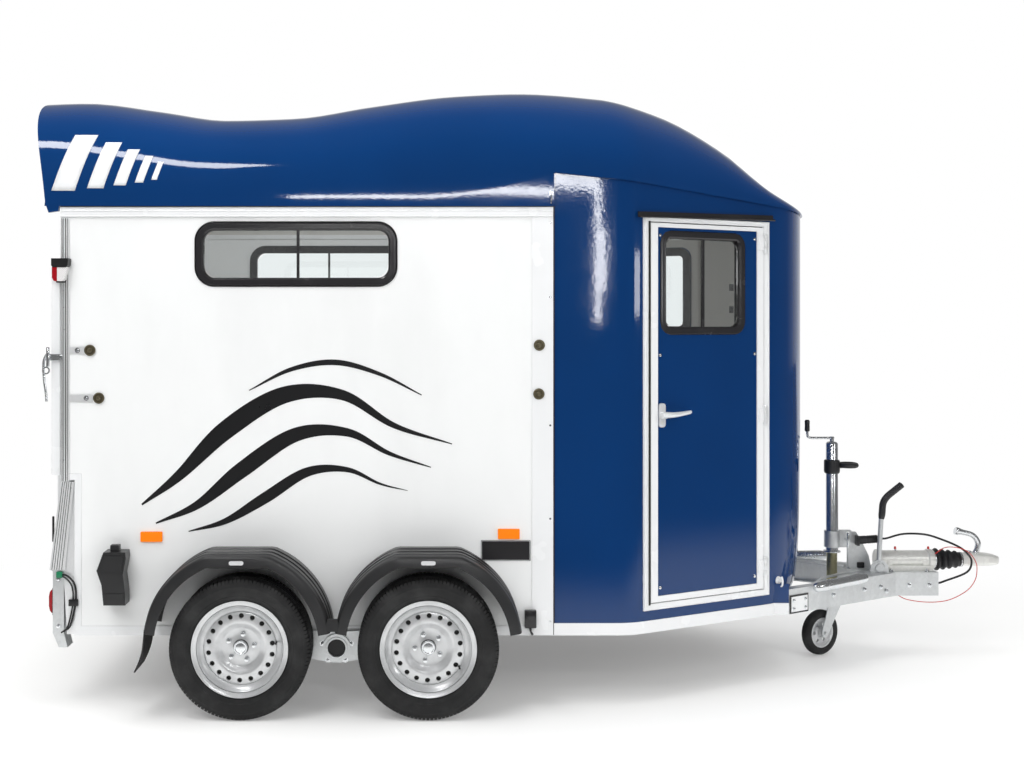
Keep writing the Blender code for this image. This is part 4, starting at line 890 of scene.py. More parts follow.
class TrailerSettings(bpy.types.PropertyGroup):
    body_colour: FloatVectorProperty(
        name="Body colour", description="Colour of the moulded nose, roof and door", subtype="COLOR", size=3,
        min=0.0, max=1.0, default=(0.0014, 0.034, 0.142))
    wall_colour: FloatVectorProperty(
        name="Wall colour", description="Colour of the side walls and ramp", subtype="COLOR", size=3,
        min=0.0, max=1.0, default=(0.91, 0.92, 0.92))
    band_colour: FloatVectorProperty(
        name="Wave colour", description="Colour of the waves on the side walls", subtype="COLOR", size=3,
        min=0.0, max=1.0, default=(0.01, 0.01, 0.011))
    rim_colour: FloatVectorProperty(
        name="Rim colour", description="Colour of the wheel rims", subtype="COLOR", size=3,
        min=0.0, max=1.0, default=(0.66, 0.67, 0.68))
    tread_blocks: IntProperty(
        name="Tread blocks", description="Shoulder blocks round each tyre", default=110, min=24, max=120)
    tread_depth: FloatProperty(
        name="Tread depth", description="Depth of the tyre's grooves", default=0.007, min=0.002, max=0.009,
        unit="LENGTH")
    rim_holes: IntProperty(
        name="Rim holes", description="Round holes in each wheel disc", default=18, min=6, max=24)
    rim_hole_radius: FloatProperty(
        name="Rim hole radius", description="Radius of a hole in the wheel disc", default=0.0105, min=0.005,
        max=0.014, unit="LENGTH")
    wheel_bolts: IntProperty(
        name="Wheel bolts", description="Bolts that hold each wheel", default=5, min=4, max=6)


class TRAILER_OT_stage(Builder, bpy.types.Operator):
    """Floor, backdrop, lamps and camera"""

    bl_idname = "trailer.stage"
    bl_label = "Stage and Camera"

    def execute(self, context):
        scene = context.scene
        scene.view_settings.view_transform = "Standard"
        camera = bpy.data.cameras.new("camera")
        camera.sensor_width = 36.0
        camera.lens = CAMERA_LENS
        camera.shift_x, camera.shift_y = CAMERA_SHIFT
        holder = bpy.data.objects.new("camera", camera)
        holder.location = CAMERA_PLACE
        holder.rotation_euler = (math.pi / 2, 0, 0)
        scene.collection.objects.link(holder)
        scene.camera = holder

        floor = loose(Shape().block((-40, 40), (-30, 40), (-0.02, -0.0004)), "studio_floor")
        floor.data.materials.append(self.backdrop())

        self.world(scene)
        # name, place, aim, width, height, power
        softboxes = (
            ("key_softbox", (-3.6, -5.4, 5.2), (-0.2, 0, 1.0), 3.6, 2.2, 138),
            ("front_softbox", (4.6, -4.6, 3.6), (0.8, 0, 1.0), 1.4, 3.2, 80),
            ("top_softbox", (0.2, -0.6, 6.4), (0, 0, 1.0), 5.0, 2.2, 114),
            ("rear_softbox", (-6.5, 2.5, 4.0), (-1.2, 0, 1.2), 2.4, 2.4, 75),
            ("cabin_lamp", (-0.75, 0.0, 2.42), (-0.75, 0.0, 0.0), 2.0, 1.2, 9),
        )
        for name, place, aim, width, height, power in softboxes:
            turn = (Vector(aim) - Vector(place)).to_track_quat("-Z", "Y")
            self.lamp(scene, name, place, turn, width, height, power, False)
        # name, one end, other end, aim, thickness, power: long lamps that show as streaks on the gelcoat
        tubes = (
            ("low_tube", (-1.6, -5.2, 2.92), (0.84, -5.2, 2.73), (-0.4, -0.885, 2.19), 0.13, 25),
            ("high_tube", (-1.9, -3.65, 5.2), (-3.75, -1.95, 6.1), (-1.8, -0.85, 2.36), 0.52, 74),
            ("nose_tube_1", (0.83, -5.2, 1.65), (0.83, -5.2, 2.7), (0.22, -0.875, 2.0), 0.05, 5.0),
            ("nose_tube_2", (0.89, -5.2, 1.9), (0.89, -5.2, 2.37), (0.25, -0.875, 2.0), 0.04, 1.8),
            ("door_tube", (3.55, -3.26, 1.7), (3.55, -3.26, 2.17), (0.37, -0.86, 1.85), 0.9, 13),
        )
        for name, first, last, aim, thickness, power in tubes:
            place, along = (Vector(first) + Vector(last)) / 2, Vector(last) - Vector(first)
            side = along.normalized()
            back = side.cross((place - Vector(aim)).cross(side)).normalized()
            turn = Matrix((side, back.cross(side), back)).transposed().to_quaternion()
            self.lamp(scene, name, place, turn, along.length, thickness, power, True)
        return {"FINISHED"}

    @staticmethod
    def lamp(scene, name, place, turn, width, height, power, mirrored):
        """An area lamp, unseen by the camera and through glass."""
        light = bpy.data.lights.new(name, "AREA")
        light.shape = "RECTANGLE"
        light.size, light.size_y, light.energy = width, height, power
        lamp = bpy.data.objects.new(name, light)
        lamp.visible_camera = lamp.visible_transmission = False
        lamp.visible_glossy = mirrored
        lamp.location = place
        lamp.rotation_mode = "QUATERNION"
        lamp.rotation_quaternion = turn
        scene.collection.objects.link(lamp)

    @staticmethod
    def world(scene):
        """White behind the trailer for the camera, glass and metal; a plain, darker studio on the other sides."""
        made = Nodes(bpy.data.worlds.new("studio_world"))
        scene.world = made.owner
        facing = made.node("ShaderNodeTexCoord", {}, output="Generated")
        back, up = made.axis(facing, "Y"), made.axis(facing, "Z")
        plain = 0.2 + 0.78 * made.between(back, -0.85, 0.35)
        mirrored = 0.12 + 0.78 * made.between(back, 0.2, 0.85) * (1.0 - 0.85 * made.between(up, 0.1, 0.4))
        strength = plain + made.ray("Glossy") * (mirrored - plain)
        strength = strength + made.seen() * (1.0 - strength)
        made.finish("World", made.node("ShaderNodeBackground", {}, Color=(1.0, 1.0, 1.0, 1.0), Strength=strength))

    @staticmethod
    def backdrop():
        """A white floor that keeps the shadow near the trailer and fades into the backdrop far from it."""
        made = Nodes(bpy.data.materials.new("studio_white"))
        place = made.node("ShaderNodeTexCoord", {}, output="Object")
        along, across = made.axis(place, "X"), made.axis(place, "Y")
        ahead = made.between(across, -5.5, -2.0)
        behind = made.between(across - 0.8 * along.math("ABSOLUTE", along), -1.0, 2.5)
        tone = made.mix(ahead, (0.1, 0.1, 0.1), (0.96, 0.96, 0.95))
        lit = made.node("ShaderNodeBsdfPrincipled", {}, Base_Color=tone, Roughness=0.6, Specular_IOR_Level=0.2)
        spread = made.node("ShaderNodeMapping", {}, place, Scale=(0.55, 1.0, 1.0))
        reach = made.node("ShaderNodeVectorMath", {"operation": "LENGTH"}, spread, output="Value")
        share = 0.29 + 0.71 * made.between(reach, 1.3, 2.9)
        mirrored = made.ray("Glossy")
        glow = made.node("ShaderNodeEmission", {}, Color=(1.0, 1.0, 1.0, 1.0),
                         Strength=1.0 - mirrored * (0.88 - 0.8 * behind))
        factor = made.between(made.seen() * share + mirrored * made.between(reach, 2.0, 4.5), 0.0, 1.0)
        return made.finish("Material", made.node("ShaderNodeMixShader", {}, factor, lit, glow))


class TRAILER_OT_finishes(Builder, bpy.types.Operator):
    """Makes the finishes and gives the frame's own shapes theirs"""

    bl_idname = "trailer.finishes"
    bl_label = "Finishes"

    def execute(self, context):
        FINISHES.update(make_finishes(self.settings(context)))
        for finish, nodes in SHOWN_NODES:
            for node in nodes:
                mesh = NODES[node].data
                mesh.materials.clear()
                mesh.materials.append(FINISHES[finish])
        return {"FINISHED"}


class TRAILER_OT_shell(Builder, bpy.types.Operator):
    """Moulded roof and nose, with the white shapes on the roof's side"""

    bl_idname = "trailer.shell"
    bl_label = "Roof and Nose"

    def execute(self, context):
        roof = build_roof()
        build_nose()
        build_lining()
        self.roof_bars(roof)
        for side, sign in SIDES:
            foot = Shape(side_frame(sign))
            foot.prism([(-2.168, 2.141), (-2.158, 2.112), (-2.116, 2.118), (-2.112, 2.141)], 0.864, 0.8855,
                       bevel=0.002)
            foot.piece(f"roof_foot_{side}", "blue")
        self.seams()
        return {"FINISHED"}

    @staticmethod
    def roof_bars(roof):
        """Slanted white bars of falling size along the rear of the roof."""
        tree = BVHTree.FromPolygons([v.co for v in roof.data.vertices], [list(p.vertices) for p in roof.data.polygons])
        # x of the middle, z of the middle, width, height
        bars = ((-2.055, 2.33, 0.1, 0.25), (-1.925, 2.318, 0.07, 0.205), (-1.828, 2.308, 0.052, 0.16),
                (-1.752, 2.299, 0.036, 0.118), (-1.694, 2.292, 0.024, 0.08))
        for side, sign in SIDES:
            shape = Shape()
            for x, z, width, height in bars:
                rows = []
                for v in range(13):
                    row = []
                    for u in range(5):
                        up = (v / 12 - 0.5) * height
                        px = x + (u / 4 - 0.5) * width + up * 0.32
                        hit, normal, _, _ = tree.ray_cast(Vector((px, sign * 3.0, z + up)), Vector((0, -sign, 0)))
                        row.append(hit + normal * 0.0008)
                    rows.append(row)
                shape.skin(rows)
            made = shape.piece(f"roof_bars_{side}", "white_film", recalc=False)
            thicken(made, 0.0006, -sign)

    @staticmethod
    def seams():
        for side, sign in SIDES:
            place = wall_frame(sign)
            shape = Shape()
            shape.prism(rectangle((REAR_X + 0.002, SEAM_X), (2.1365, 2.1445)), 0.001, 0.0085, place)
            shape.prism(rectangle((SEAM_X - 0.003, SEAM_X + 0.003), (BODY_FLOOR_Z + 0.002, WALL_TOP_Z)), -0.002,
                        0.0036, place)
            shape.piece(f"body_seals_{side}", "rubber")
            gutter = Shape()
            section = [(-0.002, 2.094), (0.009, 2.094), (0.01, 2.097), (0.0055, 2.099), (0.0055, 2.118),
                       (0.01, 2.12), (0.009, 2.1225), (-0.002, 2.1225)]
            gutter.loft([[place @ Vector((x, z, w)) for w, z in section] for x in (REAR_X, SEAM_X - 0.004)])
            gutter.piece(f"wall_gutter_{side}", "rail")


def thicken(obj, thickness, offset):
    """Gives an open sheet its thickness, to one side of where it lies."""
    change = obj.modifiers.new("thickness", "SOLIDIFY")
    change.thickness, change.offset = thickness, offset
    applied(obj)
    bm = bmesh.new()
    bm.from_mesh(obj.data)
    bmesh.ops.recalc_face_normals(bm, faces=bm.faces)
    bm.to_mesh(obj.data)
    bm.free()


class TRAILER_OT_artwork(Builder, bpy.types.Operator):
    """Black tapered waves on the side walls"""

    bl_idname = "trailer.artwork"
    bl_label = "Wall Waves"

    def execute(self, context):
        # control points of a wave's middle line, with its half width at each
        waves = (
            ((-1.76, 0.86, 0.004), (-1.6, 0.985, 0.022), (-1.4, 1.18, 0.04), (-1.15, 1.33, 0.036),
             (-0.9, 1.33, 0.022), (-0.68, 1.2, 0.012), (-0.43, 1.12, 0.002)),
            ((-1.7, 0.78, 0.003), (-1.52, 0.86, 0.018), (-1.33, 1.01, 0.034), (-1.1, 1.16, 0.03),
             (-0.88, 1.17, 0.018), (-0.7, 1.08, 0.009), (-0.52, 1.02, 0.002)),
            ((-1.56, 0.745, 0.002), (-1.4, 0.79, 0.013), (-1.23, 0.89, 0.024), (-1.05, 1.0, 0.02),
             (-0.88, 1.01, 0.011), (-0.74, 0.95, 0.005), (-0.62, 0.92, 0.001)),
            ((-1.3, 1.35, 0.002), (-1.12, 1.44, 0.009), (-0.93, 1.47, 0.012), (-0.74, 1.42, 0.008),
             (-0.56, 1.33, 0.002)),
        )
        for side, sign in SIDES:
            shape = Shape()
            for wave in waves:
                line = smooth_curve(wave, 12)
                rows = []
                for index, point in enumerate(line):
                    before, after = line[max(index - 1, 0)], line[min(index + 1, len(line) - 1)]
                    along = Vector((after.x - before.x, after.y - before.y)).normalized()
                    out = Vector((-along.y, along.x)) * max(point.z, 0.0006)
                    rows.append([wall_frame(sign) @ Vector((point.x + out.x * s, point.y + out.y * s, w))
                                 for s, w in ((-1, 0.0002), (1, 0.0002), (1, 0.001), (-1, 0.001))])
                shape.loft(rows)
            shape.piece(f"wall_waves_{side}", "black_film")
        return {"FINISHED"}


class TRAILER_OT_windows(Builder, bpy.types.Operator):
    """Rounded black window frames with their middle bars and seals"""

    bl_idname = "trailer.windows"
    bl_label = "Windows"

    def execute(self, context):
        wide = (WINDOW_X, WINDOW_Z, WINDOW_R, WINDOW_BAND, MULLION_X)
        tall = (DOOR_WINDOW_S, DOOR_WINDOW_Z, DOOR_WINDOW_R, DOOR_WINDOW_BAND, sum(DOOR_WINDOW_S) / 2)
        # name, sizes, place, body
        windows = (
            ("side_window_right", wide, wall_frame(-1), "trailer"),
            ("side_window_left", wide, wall_frame(1), "trailer"),
            ("door_window", tall, door_frame(), "groom_door"),
            ("nose_window", tall, door_frame(1), "trailer"),
        )
        for name, (us, vs, radius, band, bar), place, body in windows:
            outline = rounded(us, vs, radius, 12)
            shape = Shape(place)
            shape.band(outline, [
                (0.001, 0.0), (0.0, 0.004), (0.003, 0.0085), (0.01, 0.0105), (band * 0.5, 0.0095),
                (band - 0.009, 0.0105), (band - 0.002, 0.006), (band, 0.001), (band, -0.0245), (0.001, -0.0245)])
            shape.prism(rectangle((bar - MULLION_W / 2, bar + MULLION_W / 2), shrink(vs, band - 0.004)), -0.006, 0.006,
                        bevel=0.002)
            shape.piece(name + "_surround", "gloss_black", body, [name + "_frame"])
            seal = Shape(place)
            seal.band(rounded(shrink(us, -0.005), shrink(vs, -0.005), radius + 0.005, 12),
                      [(0.0, 0.0), (0.0, 0.004), (0.003, 0.005), (0.005, 0.0)])
            seal.piece(name + "_seal", "rubber", body)
            inside = Shape(place).band(outline, [(-0.008, -0.0252), (-0.008, -0.029), (band, -0.029), (band, -0.0252)])
            inside.piece(name + "_inner_ring", "gloss_black", body)
        return {"FINISHED"}


class TRAILER_OT_wheels(Builder, bpy.types.Operator):
    """Tyres with tread, pierced rims, bolts and caps"""

    bl_idname = "trailer.wheels"
    bl_label = "Wheels"

    def execute(self, context):
        settings = self.settings(context)
        for side, sign in SIDES:
            outwards = Matrix.Rotation(-sign * math.pi / 2, 4, "X")
            for end, x in WHEEL_X.items():
                place = Matrix.Translation((x, sign * TYRE_Y, AXLE_Z)) @ outwards
                spin = Matrix.Rotation(0.35 * (1 if end == "rear" else -1) + 0.2 * sign, 4, "Z")
                self.tyre(f"{end}_{side}", place @ spin, settings)
                self.rim(f"{end}_{side}", place @ spin, settings)
        return {"FINISHED"}

    @staticmethod
    def tyre(name, place, settings):
        base = TYRE_R - settings.tread_depth
        half = [(0.187, 0.064), (0.203, 0.069), (0.205, 0.074), (0.208, 0.0765), (0.214, 0.08),
                (0.219, 0.085), (0.2215, 0.0868), (0.2245, 0.0862), (0.23, 0.0885), (0.242, 0.0912),
                (0.256, 0.0918), (0.26, 0.093), (0.263, 0.0918), (0.272, 0.0896), (0.278, 0.0862),
                (base - 0.0035, 0.08), (base, 0.07), (base + 0.001, 0.048)]
        tread = [(TYRE_R, 0.0475), (TYRE_R, 0.033), (base, 0.0315), (base, 0.0235), (TYRE_R, 0.022),
                 (TYRE_R, 0.005), (base, 0.004)]
        carcass = Shape().lathe(with_mirror(half + tread), place, 112)
        carcass.piece(f"tyre_carcass_{name}", "tyre", f"wheel_{name}", [f"tyre_{name}"], 28)
        block = Shape(Matrix.Translation((-TYRE_R, 0, 0)))
        pitch = 2 * math.pi * TYRE_R / settings.tread_blocks
        outline = [(TYRE_R - 0.0002, 0.0505), (TYRE_R - 0.0006, 0.07), (TYRE_R - 0.0035, 0.08),
                   (0.28, 0.0872), (0.2735, 0.0898), (base - 0.006, 0.05)]
        for s in (-1, 1):
            block.loft([[(r, y, s * h) for r, h in outline] for y in (-pitch * 0.39, pitch * 0.39)])
        blocks = repeat_on_circle(f"tread_blocks_{name}", block, "tyre", settings.tread_blocks, TYRE_R, place)
        dress(blocks, "tyre", f"wheel_{name}", angle=30)

    @staticmethod
    def rim(name, place, settings):
        body = f"wheel_{name}"
        profile = [(0.0, 0.0335), (0.03, 0.0335), (0.0325, 0.0325), (0.076, 0.031), (0.082, 0.0325),
                   (0.098, 0.0465), (0.1045, 0.05), (0.112, 0.051), (0.144, 0.047), (0.1475, 0.045),
                   (0.149, 0.0375), (0.153, 0.0375), (0.1545, 0.0445), (0.164, 0.05), (0.172, 0.058),
                   (0.1755, 0.065), (0.1775, 0.0665), (0.1786, 0.0605), (0.18, 0.0605), (0.1808, 0.0695),
                   (0.186, 0.0715), (0.193, 0.0735), (0.1975, 0.077), (RIM_R, 0.0775), (RIM_R + 0.0012, 0.0755),
                   (RIM_R, 0.0718), (0.1955, 0.07), (0.182, 0.066), (0.17, 0.03), (0.164, 0.008),
                   (0.164, -0.016), (0.1805, -0.067), (RIM_R, -0.0715), (RIM_R, -0.0775), (0.174, -0.0725),
                   (0.156, -0.018), (0.1545, 0.034), (0.106, 0.043), (0.078, 0.024), (0.05, 0.022),
                   (0.05, -0.05), (0.025, -0.05), (0.025, 0.02), (0.0, 0.02)]
        disc = loose(Shape().lathe(profile, PLAN, 90), f"rim_disc_{name}")
        hole = Shape().rod((0, 0, 0.025), (0, 0, 0.07), settings.rim_hole_radius, sides=20)
        carve(disc, repeat_on_circle("rim_holes", hole, "rim", settings.rim_holes, 0.1335))
        disc.data.transform(place)
        dress(disc, "rim", body, [f"rim_{name}"], 30)
        head = Shape().rod((0, 0, 0.03), (0, 0, 0.036), 0.0125, 0.01, sides=20)
        head.rod((0, 0, 0.0355), (0, 0, 0.048), 0.0095, sides=6, bevel=0.0008)
        bolts = repeat_on_circle(f"wheel_bolts_{name}", head, "bright_zinc", settings.wheel_bolts, 0.056, place)
        dress(bolts, "bright_zinc", body, angle=30)
        cap = Shape().lathe([(0.0, 0.0535), (0.012, 0.053), (0.0205, 0.051), (0.0225, 0.053), (0.0265, 0.053),
                             (0.029, 0.05), (0.03, 0.034), (0.0, 0.034)], place, 36)
        cap.piece(f"hub_cap_{name}", "bright_zinc", body)
        drum = Shape().lathe([(0.052, 0.0215), (0.077, 0.0215), (0.104, 0.0395), (0.12, 0.0365),
                              (0.15, 0.031), (0.151, 0.029), (0.15, -0.04), (0.138, -0.052),
                              (0.052, -0.052)], place, 60)
        drum.piece(f"brake_drum_{name}", "drum", body, slot="black_plastic")
        lip = Shape().lathe([(0.0305, 0.034), (0.0322, 0.034), (0.032, 0.0352), (0.0305, 0.0355)], place, 36)
        lip.rod(place @ Vector((0.149, 0.0, 0.043)), place @ Vector((0.151, 0.0, 0.066)), 0.0045, 0.003, 10)
        lip.rod(place @ Vector((0.151, 0.0, 0.065)), place @ Vector((0.1515, 0.0, 0.072)), 0.0042, sides=10,
                bevel=0.0008)
        lip.piece(f"hub_lip_{name}", "rubber", body)


def fender_line(steps=16):
    """The arch's line about its axle, with outward normals."""
    flat_angle = math.degrees(math.atan2(FENDER_TOP_Z, FENDER_FLAT))
    right = []
    for step in range(steps + 1):
        share = step / steps
        angle = math.radians(FENDER_END_ANGLE + (flat_angle - FENDER_END_ANGLE) * share)
        radius = FENDER_END_R + (FENDER_TOP_R - FENDER_END_R) * share
        right.append((radius * math.cos(angle), radius * math.sin(angle)))
    flat = [(FENDER_FLAT * share, FENDER_TOP_Z) for share in (-0.6, -0.2, 0.2, 0.6)]
    line = [Vector(p) for p in chaikin([(-x, z) for x, z in right] + flat + list(reversed(right)), 1)]
    normals = []
    for index in range(len(line)):
        along = (line[min(index + 1, len(line) - 1)] - line[max(index - 1, 0)]).normalized()
        normals.append(Vector((-along.y, along.x)))
    return line, normals


class TRAILER_OT_fenders(Builder, bpy.types.Operator):
    """Ribbed plastic fenders with lips, bridge, flap and screws"""

    bl_idname = "trailer.fenders"
    bl_label = "Fenders"

    def execute(self, context):
        line, normals = fender_line()
        inner = BODY_HALF + 0.0035
        # distance from the centreline, height over the arch's line
        section = [(inner, -0.03), (inner, -0.004), (inner + 0.004, 0.0), (0.93, 0.001), (0.934, 0.006),
                   (0.958, 0.006), (0.962, 0.001), (0.992, 0.001), (0.996, 0.006), (1.02, 0.006), (1.024, 0.001),
                   (1.054, 0.001), (1.058, 0.005), (1.078, 0.005), (1.082, 0.001), (1.098, -0.0005),
                   (1.108, -0.005), (1.113, -0.012), (1.114, -0.04), (1.1165, -0.0465), (1.1165, -0.049)]
        for side, sign in SIDES:
            for end, x in zip(("rear", "front"), FENDER_X):
                shape = Shape()
                rows = []
                for index, (point, normal) in enumerate(zip(line, normals)):
                    share = min(index, len(line) - 1 - index) / (len(line) * 0.18)
                    rise = 0.35 + 0.65 * smooth_step(share)
                    heights = [(y, d if d < 0.0008 else d * rise) for y, d in section]
                    rows.append([(x + point.x + normal.x * d, sign * y, AXLE_Z + point.y + normal.y * d)
                                 for y, d in heights])
                shape.skin(rows)
                replaced = [f"fenders_{side}"] if end == "rear" else []
                self.shell(shape.piece(f"fender_{end}_{side}", "plastic", replaces=replaced, recalc=False, angle=40))
            self.extras(side, sign)
        return {"FINISHED"}

    @staticmethod
    def shell(obj):
        """Turns the arch's sheet to face upwards and thickens it inwards."""
        bm = bmesh.new()
        bm.from_mesh(obj.data)
        bmesh.ops.recalc_face_normals(bm, faces=bm.faces)
        if max(bm.faces, key=lambda f: f.calc_center_median().z).normal.z < 0:
            bmesh.ops.reverse_faces(bm, faces=bm.faces)
        bm.to_mesh(obj.data)
        bm.free()
        thicken(obj, 0.0035, -1)
        obj.data.shade_smooth()
        obj.data.set_sharp_from_angle(angle=math.radians(40))

    @staticmethod
    def extras(side, sign):
        middle = sum(FENDER_X) / 2
        face = side_frame(sign)
        shape = Shape()
        shape.prism([(middle - 0.034, 0.372), (middle + 0.034, 0.372), (middle + 0.02, 0.424),
                     (middle - 0.02, 0.424)], FENDER_OUT - 0.012, FENDER_OUT - 0.002, face, 0.002)
        tail = FENDER_X[0] - FENDER_END_R
        line = smooth_curve([(tail + 0.012, 0.38, 0), (tail + 0.004, 0.3, 0), (tail - 0.01, 0.25, 0),
                             (tail - 0.03, 0.205, 0)], 4)
        rows = [[face @ Vector((p.x + t, p.y, w)) for t, w in
                 ((0.0, 0.935), (0.006, 0.935), (0.006, 1.112), (0.0, 1.112))] for p in line]
        shape.loft(rows)
        shape.piece(f"fender_trim_{side}", "rubber")
        pads = Shape(face)
        for x in FENDER_X:
            pads.prism(rounded((x - 0.03, x + 0.03), (0.6455, 0.6625), 0.008), FENDER_OUT - 0.002,
                       FENDER_OUT + 0.0028, bevel=0.001)
        pads.piece(f"fender_pads_{side}", "alloy")
        screws = Shape()
        for x in FENDER_X:
            for u, z in ((-0.24, 0.28), (-0.12, 0.325), (0.12, 0.325), (0.24, 0.28)):
                screws.rod((x + u, sign * 0.8785, AXLE_Z + z), (x + u, sign * 0.8825, AXLE_Z + z), 0.007, sides=12)
        screws.piece(f"fender_screws_{side}", "bright_zinc")


class TRAILER_OT_cords(Builder, bpy.types.Operator):
    """Electric cable and breakaway cable over the coupling"""

    bl_idname = "trailer.cords"
    bl_label = "Cables"

    def execute(self, context):
        supply = [(1.7212, -0.0345, 0.57128), (1.744, -0.0345, 0.5728), (1.829, -0.028, 0.593),
                  (1.936, -0.026, 0.59), (2.013, -0.04, 0.568), (2.08, -0.062, 0.54), (2.119, -0.072, 0.512),
                  (2.146, -0.076, 0.47), (2.127, -0.07, 0.412), (2.03, -0.046, 0.364), (1.998, -0.042, 0.352),
                  (1.9809, -0.042, 0.3515)]
        breakaway = [(1.974, -0.053, 0.497), (2.013, -0.07, 0.531), (2.059, -0.088, 0.537),
                     (2.119, -0.094, 0.518), (2.158, -0.096, 0.468), (2.164, -0.096, 0.42),
                     (2.154, -0.094, 0.373), (2.119, -0.092, 0.327), (2.051, -0.09, 0.287),
                     (1.986, -0.088, 0.27), (1.906, -0.08, 0.267), (1.83, -0.068, 0.277),
                     (1.79, -0.06, 0.2953)]
        # name, points, diameter, finish, node, pieces on it
        cords = (
            ("supply_cable", supply, 0.01, "rubber", "electric_cable", PLUG),
            ("breakaway_wire", breakaway, 0.004, "red_sheath", "breakaway_cable", []),
        )
        for name, points, diameter, finish, node, pieces in cords:
            line = smooth_curve(points, 6)
            curve = bpy.data.curves.new(name, "CURVE")
            curve.dimensions = "3D"
            curve.bevel_depth = diameter / 2
            curve.bevel_resolution = 4
            curve.use_fill_caps = True
            spline = curve.splines.new("POLY")
            spline.points.add(len(line) - 1)
            for point, place in zip(spline.points, line):
                point.co = (*place, 1.0)
            length = sum((b - a).length for a, b in zip(line, line[1:]))
            obj = bpy.data.objects.new(name, curve)
            context.scene.collection.objects.link(obj)
            dress(obj, finish, replaces=[node], angle=None)
        return {"FINISHED"}


def wall_button(shape, u, v, base, radius):
    """A cupped washer with a round-headed bolt in it."""
    shape.lathe([(0.0, base), (radius, base), (radius, base + 0.003), (radius - 0.0025, base + 0.0055),
                 (radius * 0.66, base + 0.0055), (radius * 0.58, base + 0.0025), (radius * 0.44, base + 0.0025),
                 (radius * 0.42, base + 0.0085), (radius * 0.26, base + 0.012), (0.0, base + 0.0125)],
                Matrix.Translation((u, v, 0.0)), 36)


